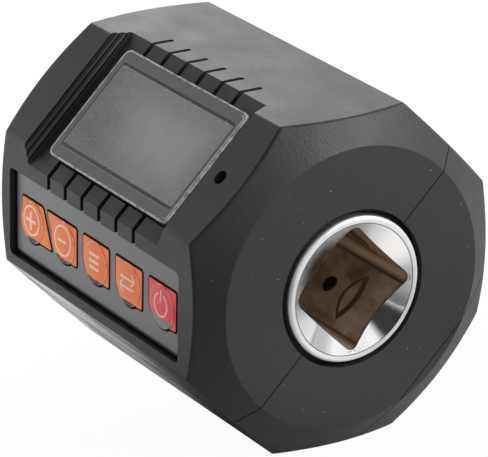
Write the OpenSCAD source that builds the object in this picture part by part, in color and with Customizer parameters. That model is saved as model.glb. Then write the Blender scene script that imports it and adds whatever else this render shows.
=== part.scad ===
// Digital torque adapter: an eight-sided housing round a square-drive torsion shaft.
// Millimetres. +Y runs along the drive axis, from the square socket to the square plug.
// +Z is up, square to the plain top facet, and the housing stands on the opposite facet.
// The origin is the centre of the socket's rim face. Facets are named by their turn from the top.

/* [Housing] */
// Length of the facets past the keypad recess, both ends together
recess_ends = 3.5; // [3:0.1:8]
// Length of the facets past the display pocket, both ends together
pocket_ends = 11.6; // [11:0.1:16]
// Length of the facets past a cell, both ends together
cell_ends = 3.5; // [3.4:0.1:8]
// Least gap between the shaft and a cell
cell_shaft_gap = 0.9; // [0.5:0.1:3]
// Least width of the shelf on each side of the window
shelf_edge_w = 2.5; // [2.2:0.1:4]
// Rise of each coned end from the facet corners to its flat disc
cone_depth = 3.6; // [3:0.1:4.4]
// How far the corners stand out past the flat disc at each end
cone_ring = 5.3; // [4:0.05:7]
// Thickness of the moulded walls
wall = 2.2; // [2:0.1:2.4]
// Radius along the eight long edges
edge_r = 0.6; // [0.2:0.1:1.2]
// Width of the seams between the two shells and the battery cover
seam = 0.14; // [0.06:0.02:0.24]
// Depth of the battery cover, measured in from its facet
cover_depth = 4.7; // [4.4:0.1:5]

/* [Display] */
// Depth of the pocket round the window
pocket_depth = 2; // [1.6:0.1:2.2]
// Length of the window
window_l = 30.5; // [26:0.1:34]
// Width of the window
window_w = 17.9; // [16:0.1:20]
// Length of the pocket past the window, both ends together
pocket_room = 5.9; // [5:0.1:8]
// Corner radius of the window
window_r = 1.2; // [0.8:0.1:2]
// Grooves on each side of the window
groove_count = 6; // [3:1:7]
// Distance between grooves
groove_pitch = 4.45; // [3.6:0.05:4.8]
// Width of a groove
groove_w = 0.85; // [0.5:0.05:1.2]
// Depth of a groove
groove_depth = 1; // [0.6:0.1:1.2]

/* [Keypad] */
// Length of the keypad recess
recess_l = 44.5; // [40:0.1:52]
// Height of the keypad recess
recess_h = 12.7; // [12:0.1:14]
// Depth of the keypad face below its facet
keypad_depth = 0.86; // [0.6:0.02:1]
// Space between neighbouring square keys
key_space = 1.85; // [1.5:0.05:2.4]
// Height of a key
key_h = 5.5; // [5:0.1:6]
// How much wider a square key is than the round dome on it
key_past_dome = 0.6; // [0.4:0.05:0.8]
// Travel of a key
key_travel = 0.35; // [0.2:0.05:0.4]

/* [Drive] */
// Square socket, across its flats
socket_square = 12.9; // [12.75:0.05:14]
// Depth of the square socket
socket_depth = 16.2; // [14:0.1:17]
// Square plug, across its flats
plug_square = 12.7; // [12.5:0.05:12.75]
// Length of the square plug
plug_l = 15.2; // [14:0.1:18]
// Least wall of the shaft round the flats of its socket
socket_wall = 3.75; // [3.2:0.05:4.5]
// Diameter of the shaft's slim middle
torsion_d = 14.5; // [13.4:0.1:15.5]
// How far the shaft stands out of each end disc
rim_proud = 0.4; // [0.2:0.05:0.8]
// Open gap round the shaft in each end disc
shaft_hole_gap = 0.75; // [0.5:0.05:0.95]

/* [Battery] */
// Diameter of a cell
cell_d = 10.5; // [9.8:0.1:12]
// Length of a cell with its button
cell_l = 44.5; // [40:0.1:50]

/* [Hidden] */
$fn = 64;

// Cuts run past a face by this much, and running parts keep this fit
overrun = 1;
fit = 0.05;
fine_gap = 0.1;

// Shaft and the hub round it, which the display stack and the cells are set against
shaft_radius = socket_square / 2 + socket_wall;
shaft_hole_radius = shaft_radius + shaft_hole_gap;
bush_wall = 1.85;
bush_radius = shaft_radius + bush_wall;
hub_wall = 1;
hub_radius = bush_radius + fit + hub_wall;

// Thicknesses of the display stack, from the shelf inwards
shelf_wall = 2;
gasket_t = 0.4;
flange_t = 0.8;
flange_edge = 0.7;
lcd_frame_h = 3;
board_t = 1.6;
display_stack = pocket_depth + shelf_wall + gasket_t + flange_t + lcd_frame_h + board_t + fine_gap;

// Thicknesses of the keypad stack, from its facet inwards
overlay_t = 1;
keypad_gasket_t = 0.3;
key_flange_t = 0.6;
key_room = 0.54;
dome_h = 0.35;
key_board_t = 1;
ledge_t = key_flange_t + key_travel + dome_h + key_room - keypad_gasket_t;
keypad_stack = keypad_depth + overlay_t + keypad_gasket_t + ledge_t + key_board_t;
keypad_mid_z = -1.65;
overlay_gap = 0.28;
key_board_top = keypad_mid_z + recess_h / 2 - overlay_gap;
key_board_gap = 0.15;

// Cells, side by side under the shaft
cell_radius = cell_d / 2;
cell_spread = 0.15;
cell_seat_gap = 0.1;
cell_u = cell_radius + cell_spread;
cell_level = sqrt(pow(shaft_radius + cell_shaft_gap + cell_radius, 2) - pow(cell_u, 2));

// The eight sides, as far from the axis as the largest of four stacks needs
facets = 8;
facet_turn = 360 / facets;
display_turn = -facet_turn;
keypad_turn = -2 * facet_turn;
apothem = max(hub_radius + display_stack, cell_level + cell_radius + cell_seat_gap + wall,
    (window_w / 2 + shelf_edge_w - pocket_depth) / tan(facet_turn / 2),
    keypad_stack + key_board_top + (window_w / 2 + flange_edge + key_board_gap) / cos(facet_turn));
corner_radius = apothem / cos(facet_turn / 2);
facet_half = apothem * tan(facet_turn / 2);
disc_radius = corner_radius - cone_ring;
cone_slope = cone_depth / (corner_radius - disc_radius);

// Places along the drive axis
pocket_l = window_l + pocket_room;
facet_length = max(recess_l + recess_ends, pocket_l + pocket_ends, cell_l + cell_ends);
front_y = rim_proud;
front_corner_y = front_y + cone_depth;
mid_y = front_corner_y + facet_length / 2;
rear_corner_y = front_corner_y + facet_length;
rear_y = rear_corner_y + cone_depth;
shoulder_y = rear_y + rim_proud;
front_inside_y = front_y + wall;
rear_inside_y = rear_y - wall;

// Shells: the lip of the seam, the hub round the shaft, and the screws that join them
lip_h = 1.4;
lip_share = 0.5;
hub_lip = 1.1;
bush_l = 2.2;
cap_t = 1;
bush_front_y = front_y + cap_t;
bush_rear_y = rear_y - cap_t;
hub_front_y = bush_front_y + bush_l + hub_lip;
hub_rear_y = bush_rear_y - bush_l - hub_lip;
screw_inset = 5.5;
screw_spacing = 34;
screw_radius = 1.15;
screw_head_radius = 2.3;
screw_head_h = 1.7;
screw_seat = 6;
screw_reach = 5.4;
screw_u = apothem - screw_inset;
screw_boss_h = 6;
head_room = 0.3;
counterbore_wall = 1;
counterbore_radius = screw_head_radius + head_room;
screw_tube_radius = counterbore_radius + counterbore_wall;
driver_slot_depth = 0.9;

// Pocket, its stepped rear wall and the shelf
pocket_shift = 0.4;
pocket_front_y = mid_y + pocket_shift - pocket_l / 2;
pocket_rear_y = mid_y + pocket_shift + pocket_l / 2;
front_ramp = 1.5;
rear_ramp = 1.3;
ramp_soft_share = 0.28;
rib_groove_radius = 0.3;
rib_groove_shares = [0.16, 0.5, 0.84];
shelf_w = apothem - pocket_depth;
shelf_under_w = shelf_w - shelf_wall;
groove_shift = 0.9;
groove_end = 3.5;
groove_bite = 0.4;
buzzer_hole_d = 2;
buzzer_inset = 2.7;
buzzer_y = pocket_front_y - buzzer_inset;

// Window with its flange, and the stack under it
window_gap = 0.15;
window_front_gap = 0.4;
window_front_y = pocket_front_y + window_front_gap;
window_mid_y = window_front_y + window_l / 2;
window_top_t = 1.4;
window_wall = 1.1;
window_bevel = 0.35;
flange_top_w = shelf_under_w - gasket_t;
window_bottom_w = flange_top_w - flange_t;
flange_l = window_l + 2 * flange_edge;
flange_w = window_w + 2 * flange_edge;
lcd_frame_wall = 1.1;
lcd_t = 1.1;
board_top_w = window_bottom_w - lcd_frame_h;
lcd_l = flange_l - 2 * lcd_frame_wall - 2 * fine_gap;
lcd_w = flange_w - 2 * lcd_frame_wall - 2 * fine_gap;
lcd_top_w = window_bottom_w - fit;
lcd_under_w = lcd_top_w - lcd_t;
zebra_w = 1.3;
zebra_end = 1.2;

// Main board, its screws and chips
board_under_w = board_top_w - board_t;
board_left_gap = 0.23;
board_left = (apothem - keypad_stack) / cos(facet_turn) - board_top_w - board_left_gap;
board_end = 4.1;
board_front_y = front_y + board_end;
board_rear_y = rear_y - board_end;
board_edge_gap = 0.8;
board_right = (apothem - wall) / cos(facet_turn) - board_top_w - board_edge_gap;
post_radius = 2;
post_in = 2.6;
post_edge_left = 3.9;
post_front = 3;
post_rear = 4;
board_screw_radius = 0.95;
board_screw_head_radius = 1.8;
board_screw_head_h = 1.2;
board_screw_reach = 3;
chip_t = 1.2;
chip_large = 7;
chip_small = 4;
chip_pins = 0.6;
buzzer_radius = 2.2;

// Keypad stack, measured out from the axis along its facet's normal
keypad_shift = 0.67;
keypad_mid_y = mid_y + keypad_shift;
recess_r = 0.9;
overlay_face = apothem - keypad_depth;
overlay_back = overlay_face - overlay_t;
ledge_face = overlay_back - keypad_gasket_t;
key_end = 5.15;
key_pitch = (recess_l - 2 * key_end) / 4;
key_w = key_pitch - key_space;
key_dome_d = key_w - key_past_dome;
key_flange = 0.35;
dome_past_flange = 1.3;
dome_d = key_dome_d + 2 * key_flange - 2 * dome_past_flange;
ledge_back = ledge_face - ledge_t;
ledge_rim = 1;
ledge_over = 1.5;
ledge_over_top = 0.45;
key_gap = 0.2;
key_corner_r = 0.35;
key_round_share = 0.36;
key_radii = [key_corner_r, key_corner_r, key_corner_r, key_round_share * key_w];
key_proud = 0.12;
key_dome_h = 0.32;
plus_inset = 0.5;
plus_side = key_w / 2 - plus_inset;
slant_gap = 1.2;
slant_shift = 0.3;
slant_offset = 2.3;
ribbon_t = 0.2;
ribbon_w = 6;
ribbon_lap = 0.7;
power_key_y = keypad_mid_y - 2 * key_pitch;
unit_key_y = keypad_mid_y - key_pitch;
mode_key_y = keypad_mid_y;
minus_key_y = keypad_mid_y + key_pitch;
plus_key_y = keypad_mid_y + 2 * key_pitch;

// Shaft
rim_round = 0.6;
rim_band = 1.1;
mouth_depth = 1.65;
mouth_bottom = 5.5;
corner_relief = 0.2;
relief_round = 1.1;
flat_pad = 10.3;
detent_groove_y = 7.6;
detent_groove_w = 3.6;
detent_groove_depth = 0.9;
cross_hole_d = 2.4;
cross_hole_y = 12.5;
cross_hole_depth = 1.8;
retaining_depth = 0.6;
retaining_flat = 0.4;
retaining_gap = 0.1;
retaining_flat_w = shaft_radius - retaining_depth - retaining_flat;
socket_floor = 1.4;
end_l = socket_depth + socket_floor;
taper_l = 3;
gauge_flat = 0.65;
gauge_flat_end = 1.6;
plug_corner_r = 1.1;
plug_chamfer = 2.7;
plug_chamfer_rise = 1.6;
ball_d = 4.6;
ball_proud = 1.05;
ball_inset = 5;
ball_gap = 0.03;
ball_bore_depth = 6.9;
detent_wire = 0.5;
detent_turns = 4;
gauge_l = 8;
gauge_y = shoulder_y / 2;
gauge_t = 0.2;
gauge_side_gap = 0.2;
flex_t = 0.25;
flex_w = 5;
flex_lap = 1.6;
flex_stand = 1.2;

// Battery bay and cover
cover_w = apothem - cover_depth;
cell_w = apothem - wall - cell_seat_gap - cell_radius;
button_radius = 1.9;
button_h = 0.8;
contact_t = 0.4;
contact_gap = 0.05;
left_cell_y = hub_front_y + contact_gap + contact_t;
right_cell_y = rear_y - (hub_front_y - front_y) - contact_gap - contact_t - cell_l;
contact_foot = 2.1;
contact_l = 6.4;
contact_low = 1.15;
rib_half = 1;
spring_radius = 2.7;
spring_wire = 0.6;
spring_turns = 2.5;
post_gap = 0.1;
cover_post_radius = 1.5;
cover_boss_radius = 1.7;
cover_screw_radius = 0.9;
cover_head_radius = 1.6;
cover_head_h = 1.1;
cover_head_sink = 0.15;
cover_screw_grip = 2.7;
cover_screw_l = cover_depth + cover_screw_grip;
cover_screw_y = right_cell_y + cell_l - button_h + post_gap + cover_post_radius;
post_top = 4.4;
tongue_w = 3.4;
tongue_t = 1.4;
tongue_h = 2;
tongue_root = 0.3;
lead_radius = 0.5;
lead_gap = 0.7;
lead_u = shaft_radius + lead_gap + lead_radius;
lead_y = hub_rear_y - lead_radius - post_gap;
lead_lap = 1.8;
arm_h = 1;

// Points and outlines
function unit(v) = v / norm(v);
function side_in(pts, i) = unit(pts[(i + len(pts) - 1) % len(pts)] - pts[i]);
function side_out(pts, i) = unit(pts[(i + 1) % len(pts)] - pts[i]);
function half_angle(pts, i) = acos(side_in(pts, i) * side_out(pts, i)) / 2;
function round_centre(pts, i, r) =
    pts[i] + unit(side_in(pts, i) + side_out(pts, i)) * r / sin(half_angle(pts, i));
function round_ends(pts, i, r, grow) =
    let (centre = round_centre(pts, i, r), reach = r / tan(half_angle(pts, i)), share = 1 + grow / r)
    [centre + (pts[i] + side_in(pts, i) * reach - centre) * share,
        centre + (pts[i] + side_out(pts, i) * reach - centre) * share];

// A convex outline with round corners, of one radius or one each, which may grow evenly all round
module rounded_outline(pts, r, grow = 0) {
    radii = [for (i = [0:len(pts) - 1]) is_list(r) ? r[i] : r];
    polygon([for (i = [0:len(pts) - 1]) each round_ends(pts, i, radii[i], grow)]);
    for (i = [0:len(pts) - 1]) translate(round_centre(pts, i, radii[i])) circle(radii[i] + grow);
}

module rounded_rect(size_x, size_y, r, grow = 0) {
    rounded_outline([[-size_x, -size_y] / 2, [size_x, -size_y] / 2,
        [size_x, size_y] / 2, [-size_x, size_y] / 2], r, grow);
}

module octagon(side_distance, r) {
    rounded_outline([for (i = [0:facets - 1]) let (turn = (i + 1 / 2) * facet_turn)
        side_distance / cos(facet_turn / 2) * [cos(turn), sin(turn)]], r);
}

// Places a shape on a facet: its z points out of the facet and its y along the drive axis
module on_facet(turn) rotate([0, turn, 0]) children();
module on_display() on_facet(display_turn) children();
module on_keypad() on_facet(keypad_turn) children();

// Extrudes an outline drawn in x and z along the drive axis, from y0 to y1
module along_axis(y0, y1) translate([0, y1, 0]) rotate([90, 0, 0]) linear_extrude(y1 - y0) children();

// Turns a profile of radius and place about the drive axis
module turned() rotate([-90, 0, 0]) rotate_extrude() children();

module axis_cylinder(y0, y1, r) translate([0, y0, 0]) rotate([-90, 0, 0]) cylinder(h = y1 - y0, r = r);

// A block given by its lowest and highest corners
module block(low, high) translate(low) cube(high - low);

// A slab across the whole housing between two levels
module slab(low, high) {
    reach = corner_radius + overrun;
    block([-reach, front_y - overrun, low], [reach, rear_y + overrun, high]);
}

// A coil of wire from its foot to its head, as one unbroken tube about the z axis
module coil(r, wire, turns, h) {
    sides = 6;
    per_turn = 12;
    steps = ceil(turns * per_turn);
    rise = h - wire;
    points = [for (i = [0:steps], k = [0:sides - 1])
        let (turn = 360 * turns * i / steps, out = r + wire / 2 * cos(360 * k / sides))
        [out * cos(turn), out * sin(turn),
            wire / 2 + rise * i / steps + wire / 2 * sin(360 * k / sides)]];
    walls = [for (i = [0:steps - 1], k = [0:sides - 1])
        let (a = i * sides + k, b = i * sides + (k + 1) % sides)
        each [[a, a + sides, b], [b, a + sides, b + sides]]];
    foot = [for (k = [1:sides - 2]) [0, k, k + 1]];
    head = [for (k = [1:sides - 2]) [steps * sides, steps * sides + k + 1, steps * sides + k]];
    polyhedron(points, concat(walls, foot, head));
}

// The housing's form, drawn in by an inset all round
module housing_form(inset) {
    reach = corner_radius + overrun;
    ring = disc_radius - inset * (sqrt(1 + pow(cone_slope, 2)) - 1) / cone_slope;
    rise = (reach - ring) * cone_slope;
    intersection() {
        along_axis(front_y - overrun, rear_y + overrun)
            octagon(apothem - inset, max(edge_r - inset, fine_gap));
        turned() polygon([[0, front_y + inset], [ring, front_y + inset], [reach, front_y + inset + rise],
            [reach, rear_y - inset - rise], [ring, rear_y - inset], [0, rear_y - inset]]);
    }
}

// The space inside the housing, kept lower under the pocket
module housing_space() {
    reach = corner_radius + overrun;
    on_display() intersection() {
        on_facet(-display_turn) housing_form(wall);
        union() {
            slab(-reach, shelf_under_w);
            block([-reach, front_y, -reach], [reach, pocket_front_y - wall, reach]);
            block([-reach, pocket_rear_y + wall, -reach], [reach, rear_y, reach]);
        }
    }
}

// The hub that holds a bush, as a solid round both shells
module hub_blanks() {
    axis_cylinder(front_inside_y - overrun, hub_front_y, hub_radius);
    axis_cylinder(hub_rear_y, rear_inside_y + overrun, hub_radius);
}

// What the shaft and its bushes need of the shells
module shaft_space() {
    lip_y = bush_front_y + bush_l;
    axis_cylinder(front_y - overrun, bush_front_y + overrun, shaft_hole_radius);
    axis_cylinder(bush_front_y, lip_y, bush_radius + fit);
    intersection() {
        axis_cylinder(lip_y - overrun, hub_front_y + overrun, shaft_radius - retaining_depth + fit);
        on_display() slab(-shaft_radius, retaining_flat_w + fit);
    }
    axis_cylinder(rear_y - cap_t - overrun, rear_y + overrun, shaft_hole_radius);
    axis_cylinder(bush_rear_y - bush_l, bush_rear_y, bush_radius + fit);
    axis_cylinder(hub_rear_y - overrun, bush_rear_y, shaft_radius + fit);
}

// The ring of the seam lip, grown by a fit for its rebate
module lip_ring(grow) {
    on_display() difference() {
        intersection() {
            on_facet(-display_turn) housing_form(wall * lip_share - grow);
            slab(-lip_h, lip_h + grow);
        }
        on_facet(-display_turn) housing_form(wall + grow);
        axis_cylinder(front_y, rear_y, hub_radius + fine_gap - grow);
    }
}

module screw_places() {
    for (side = [-1, 1], end = [-1, 1])
        translate([side * screw_u, mid_y + end * screw_spacing / 2, 0]) children();
}

// The pocket's outline along the drive axis, with its soft front ramp and grooved rear wall
module pocket_outline() {
    soft = front_ramp * ramp_soft_share;
    half_y = pocket_front_y + front_ramp / 2;
    half_w = shelf_w + pocket_depth / 2;
    foot = [pocket_rear_y - rear_ramp, shelf_w];
    head = [pocket_rear_y, apothem];
    polygon([[pocket_front_y, apothem + overrun], [pocket_front_y, apothem],
        [half_y - soft, half_w + pocket_depth / 4], [half_y + soft, half_w - pocket_depth / 4],
        [pocket_front_y + front_ramp, shelf_w], foot, head, [pocket_rear_y, apothem + overrun]]);
    for (share = rib_groove_shares)
        translate(foot + (head - foot) * share) circle(rib_groove_radius);
}

module pocket() {
    reach = corner_radius + overrun;
    on_display() translate([-reach, 0, 0]) rotate([90, 0, 90]) linear_extrude(2 * reach) pocket_outline();
}

module window_place() on_display() translate([0, window_mid_y, 0]) children();

module window_opening() {
    window_place() translate([0, 0, shelf_under_w - overrun])
        linear_extrude(pocket_depth + shelf_wall + 2 * overrun)
            rounded_rect(window_w + 2 * window_gap, window_l + 2 * window_gap, window_r + window_gap);
}

// Grooves from the window over the shelf and on along the two facets beside it
module groove_set() {
    half = groove_w / 2;
    shelf_edge = facet_half + pocket_depth;
    floor_edge = shelf_edge - groove_depth / cos(facet_turn) + groove_depth;
    for (i = [0:groove_count - 1]) {
        y = mid_y + groove_shift + (i - (groove_count - 1) / 2) * groove_pitch;
        on_display() for (side = [-1, 1])
            block([min(side * window_w / 2, side * floor_edge), y - half, shelf_w - groove_depth],
                [max(side * window_w / 2, side * floor_edge), y + half, apothem]);
        block([-facet_half + groove_depth, y - half, apothem - groove_depth],
            [-groove_end - half, y + half, apothem + overrun]);
        translate([-groove_end - half, y, apothem - groove_depth])
            cylinder(h = groove_depth + overrun, r = half);
        on_keypad() block([keypad_mid_z + recess_h / 2 - groove_bite, y - half, apothem - groove_depth],
            [facet_half - groove_depth, y + half, apothem + overrun]);
    }
}

module keypad_place() on_keypad() translate([keypad_mid_z, keypad_mid_y, 0]) children();

module keypad_ledge() {
    bottom = recess_h / 2 + ledge_over;
    top = recess_h / 2 + ledge_over_top;
    half_l = recess_l / 2 + ledge_over;
    keypad_place() block([-bottom, -half_l, ledge_back], [top, half_l, ledge_face + overrun]);
}

module keypad_cuts() {
    inner_h = recess_h - 2 * overlay_gap - 2 * ledge_rim;
    inner_l = recess_l - 2 * overlay_gap - 2 * ledge_rim;
    keypad_place() {
        translate([0, 0, ledge_face]) linear_extrude(keypad_depth + overlay_t + keypad_gasket_t + overrun)
            rounded_rect(recess_h, recess_l, recess_r);
        translate([0, 0, ledge_back - overrun]) linear_extrude(ledge_t + 2 * overrun)
            rounded_rect(inner_h, inner_l, recess_r);
    }
}

module board_screw_places() {
    for (end = [board_front_y + post_front, board_rear_y - post_rear]) {
        translate([board_right - post_in, end, 0]) children();
        translate([-board_left + post_edge_left, end, 0]) children();
    }
}

module board_posts() {
    on_display() intersection() {
        board_screw_places() translate([0, 0, board_top_w])
            cylinder(h = apothem - board_top_w, r = post_radius);
        on_facet(-display_turn) housing_form(wall * lip_share);
    }
}

module display_shell() {
    reach = corner_radius + overrun;
    color("#2b2b2d") difference() {
        intersection() {
            union() {
                difference() {
                    housing_form(0);
                    housing_space();
                }
                intersection() {
                    union() {
                        hub_blanks();
                        keypad_ledge();
                        on_display() screw_places() cylinder(h = screw_boss_h, r = screw_tube_radius);
                    }
                    housing_form(wall * lip_share);
                }
                board_posts();
            }
            on_display() slab(seam / 2, reach);
        }
        pocket();
        window_opening();
        groove_set();
        keypad_cuts();
        shaft_space();
        lip_ring(fit);
        on_display() {
            translate([0, buzzer_y, shelf_under_w - overrun])
                cylinder(h = apothem - shelf_under_w + 2 * overrun, d = buzzer_hole_d);
            screw_places() cylinder(h = screw_reach + fine_gap, r = screw_radius + fit);
            board_screw_places() translate([0, 0, board_top_w - overrun])
                cylinder(h = board_screw_reach + overrun + fine_gap, r = board_screw_radius + fit);
        }
    }
}

// The battery shell's tubes for the screws, open towards its facets
module screw_tubes() {
    on_display() screw_places() translate([0, 0, -apothem])
        cylinder(h = apothem, r = screw_tube_radius);
}

// Ribs that back the battery contacts, and the post for the cover's screw
module bay_ribs() {
    on_display() {
        block([-cell_u - rib_half, front_inside_y - overrun, -cover_w + seam],
            [-cell_u + rib_half, left_cell_y - contact_t, -hub_radius - fine_gap]);
        block([cell_u - rib_half, right_cell_y + cell_l + contact_t, -cover_w + seam],
            [cell_u + rib_half, rear_inside_y + overrun, -hub_radius - fine_gap]);
        translate([0, cover_screw_y, -cover_w]) cylinder(h = post_top, r = cover_post_radius);
        block([-cover_post_radius, cover_screw_y, -cover_w],
            [cover_post_radius, rear_inside_y + overrun, -cover_w + post_top]);
    }
}

module battery_shell() {
    color("#2b2b2d") difference() {
        union() {
            intersection() {
                union() {
                    difference() {
                        housing_form(0);
                        housing_space();
                    }
                    intersection() {
                        union() {
                            hub_blanks();
                            bay_ribs();
                        }
                        housing_form(wall * lip_share);
                    }
                    intersection() {
                        screw_tubes();
                        housing_form(0);
                    }
                }
                on_display() slab(-cover_w, -seam / 2);
            }
            lip_ring(0);
        }
        shaft_space();
        on_display() {
            screw_places() {
                translate([0, 0, -screw_seat])
                    cylinder(h = screw_seat + lip_h + overrun, r = screw_radius + fit);
                translate([0, 0, -apothem]) cylinder(h = apothem - screw_seat, r = counterbore_radius);
            }
            translate([0, cover_screw_y, -cover_w - overrun])
                cylinder(h = post_top + 2 * overrun, r = cover_screw_radius + fit);
        }
    }
}

module battery_cover() {
    reach = corner_radius + overrun;
    top_w = -cover_w - seam;
    tongue_y = front_inside_y + contact_t + fine_gap;
    color("#2b2b2d") difference() {
        union() {
            intersection() {
                difference() {
                    housing_form(0);
                    housing_space();
                }
                on_display() slab(-reach, top_w);
            }
            intersection() {
                on_display() {
                    translate([0, cover_screw_y, -apothem])
                        cylinder(h = cover_depth - seam, r = cover_boss_radius);
                    block([-tongue_w / 2, tongue_y, -apothem + wall - fine_gap],
                        [tongue_w / 2, tongue_y + tongue_t, top_w + tongue_h]);
                    block([-tongue_w / 2, front_inside_y - fine_gap, -apothem + wall - fine_gap],
                        [tongue_w / 2, tongue_y + tongue_t, top_w - tongue_root]);
                }
                housing_form(0);
            }
        }
        on_display() translate([0, cover_screw_y, -apothem - overrun]) {
            cylinder(h = cover_depth + 2 * overrun, r = cover_screw_radius + fit);
            cylinder(h = overrun + cover_head_sink, r = cover_head_radius + fit);
            translate([0, 0, overrun + cover_head_sink])
                cylinder(h = cover_head_h, r1 = cover_head_radius + fit, r2 = cover_screw_radius + fit);
        }
    }
}

module cover_screw() {
    color("#3a3a3c") on_display() translate([0, cover_screw_y, -apothem + cover_head_sink]) difference() {
        union() {
            cylinder(h = cover_head_h, r1 = cover_head_radius, r2 = cover_screw_radius);
            cylinder(h = cover_screw_l, r = cover_screw_radius);
        }
        cross_recess(cover_head_radius, cover_head_h / 2);
    }
}

// A cross recess, cut upwards into a screw head that faces down
module cross_recess(size, depth) {
    for (turn = [0, 90]) rotate([0, 0, turn])
        block([-size / 2, -size / 8, -overrun], [size / 2, size / 8, depth]);
}

module shell_screws() {
    color("#3a3a3c") on_display() screw_places() translate([0, 0, -screw_seat - screw_head_h]) difference() {
        union() {
            cylinder(h = screw_head_h, r = screw_head_radius);
            cylinder(h = screw_head_h + screw_seat + screw_reach, r = screw_radius);
        }
        cross_recess(screw_head_radius, driver_slot_depth);
    }
}

// The socket's section: a square with relieved corners and a flat pad on each wall
module socket_section() {
    outer = socket_square + 2 * corner_relief;
    difference() {
        rounded_rect(outer, outer, relief_round);
        for (turn = [0:90:270]) rotate(turn)
            translate([socket_square / 2, -flat_pad / 2]) square([corner_relief + overrun, flat_pad]);
    }
}

// The shaft's turned form, with rounded rims and a slim middle
module shaft_turning() {
    middle_front_y = end_l + taper_l;
    middle_rear_y = shoulder_y - end_l - taper_l;
    turned() {
        polygon([[0, 0], [shaft_radius - rim_round, 0], [shaft_radius, rim_round],
            [shaft_radius, end_l], [torsion_d / 2, middle_front_y], [torsion_d / 2, middle_rear_y],
            [shaft_radius, middle_rear_y + taper_l], [shaft_radius, shoulder_y - rim_round],
            [shaft_radius - rim_round, shoulder_y], [0, shoulder_y]]);
        translate([shaft_radius - rim_round, rim_round]) circle(rim_round);
        translate([shaft_radius - rim_round, shoulder_y - rim_round]) circle(rim_round);
    }
}

// The groove that the front hub's lip holds, with its flat
module retaining_cut() {
    low = bush_front_y + bush_l - retaining_gap;
    high = hub_front_y + retaining_gap;
    difference() {
        axis_cylinder(low, high, shaft_radius + overrun);
        intersection() {
            axis_cylinder(low - overrun, high + overrun, shaft_radius - retaining_depth);
            on_display() slab(-shaft_radius, retaining_flat_w);
        }
    }
}

module plug() {
    end_y = shoulder_y + plug_l;
    corner = plug_square / 2 / cos(facet_turn);
    on_display() intersection() {
        along_axis(shoulder_y - overrun, end_y) rounded_rect(plug_square, plug_square, plug_corner_r);
        turned() polygon([[0, shoulder_y - overrun], [corner, shoulder_y - overrun],
            [corner, end_y - plug_chamfer_rise], [corner - plug_chamfer, end_y], [0, end_y]]);
    }
}

module ball_place() {
    on_display() translate([0, shoulder_y + plug_l - ball_inset, plug_square / 2]) children();
}

module drive_shaft() {
    groove_radius = socket_square / 2 + detent_groove_depth;
    ring_radius = (pow(detent_groove_w / 2, 2) + pow(detent_groove_depth, 2)) / (2 * detent_groove_depth);
    mouth_radius = shaft_radius - rim_band;
    color("#c9cdd2") difference() {
        union() {
            shaft_turning();
            plug();
        }
        on_display() {
            along_axis(-overrun, socket_depth) socket_section();
            turned() polygon([[0, -overrun], [mouth_radius + overrun, -overrun], [mouth_radius, 0],
                [mouth_bottom, mouth_depth], [0, mouth_depth]]);
            turned() translate([groove_radius - ring_radius, detent_groove_y]) circle(ring_radius);
            translate([0, cross_hole_y, -socket_square / 2 - cross_hole_depth])
                cylinder(h = cross_hole_depth + overrun, d = cross_hole_d);
            for (side = [0, 180]) rotate([0, side, 0])
                block([-torsion_d / 2, gauge_y - gauge_l / 2 - gauge_flat_end, torsion_d / 2 - gauge_flat],
                    [torsion_d / 2, gauge_y + gauge_l / 2 + gauge_flat_end, torsion_d / 2 + overrun]);
        }
        retaining_cut();
        ball_place() translate([0, 0, -ball_bore_depth])
            cylinder(h = ball_bore_depth + overrun, r = ball_d / 2 + ball_gap);
    }
}

module bush(y0) {
    difference() {
        axis_cylinder(y0, y0 + bush_l - 2 * fit, bush_radius);
        axis_cylinder(y0 - overrun, y0 + bush_l + overrun, shaft_radius + fit);
    }
}

module front_bush() color("#151515") bush(bush_front_y + fit);
module rear_bush() color("#151515") bush(bush_rear_y - bush_l + fit);

module detent_ball() {
    color("#d8dade") ball_place() translate([0, 0, ball_proud - ball_d / 2]) sphere(d = ball_d);
}

module detent_spring() {
    r = ball_d / 2 - detent_wire - fine_gap;
    foot = -ball_bore_depth;
    reach = ball_d / 2 + detent_wire / 2 + fit;
    head = ball_proud - ball_d / 2 + detent_wire / 2 - sqrt(pow(reach, 2) - pow(r, 2));
    color("#9a9da1") ball_place() translate([0, 0, foot]) coil(r, detent_wire, detent_turns, head - foot);
}

module strain_gauges() {
    level = torsion_d / 2 - gauge_flat;
    half = sqrt(pow(torsion_d / 2, 2) - pow(level, 2)) - gauge_side_gap;
    color("#c98b3b") on_display() for (side = [0, 180]) rotate([0, side, 0])
        block([-half, gauge_y - gauge_l / 2, level], [half, gauge_y + gauge_l / 2, level + gauge_t]);
}

// The ribbon from the upper gauge to the underside of the board
module gauge_ribbon() {
    level = torsion_d / 2 - gauge_flat + gauge_t;
    end_y = gauge_y + gauge_l / 2;
    color("#b9772c") on_display() {
        block([-flex_w / 2, end_y - flex_lap, level], [flex_w / 2, end_y + flex_stand, level + flex_t]);
        block([-flex_w / 2, end_y + flex_stand - flex_t, level],
            [flex_w / 2, end_y + flex_stand, board_under_w]);
    }
}

module display_window() {
    bevel_in = window_bevel;
    color("#70767a") window_place() difference() {
        union() {
            translate([0, 0, window_bottom_w]) linear_extrude(apothem - window_bottom_w - window_bevel)
                rounded_rect(window_w, window_l, window_r);
            translate([0, 0, window_bottom_w]) linear_extrude(apothem - window_bottom_w)
                rounded_rect(window_w - 2 * bevel_in, window_l - 2 * bevel_in, window_r - bevel_in);
            translate([0, 0, window_bottom_w]) linear_extrude(flange_t)
                rounded_rect(flange_w, flange_l, window_r);
        }
        translate([0, 0, window_bottom_w - overrun])
            linear_extrude(apothem - window_top_t - window_bottom_w + overrun)
                rounded_rect(window_w - 2 * window_wall, window_l - 2 * window_wall, window_r);
    }
}

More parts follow.
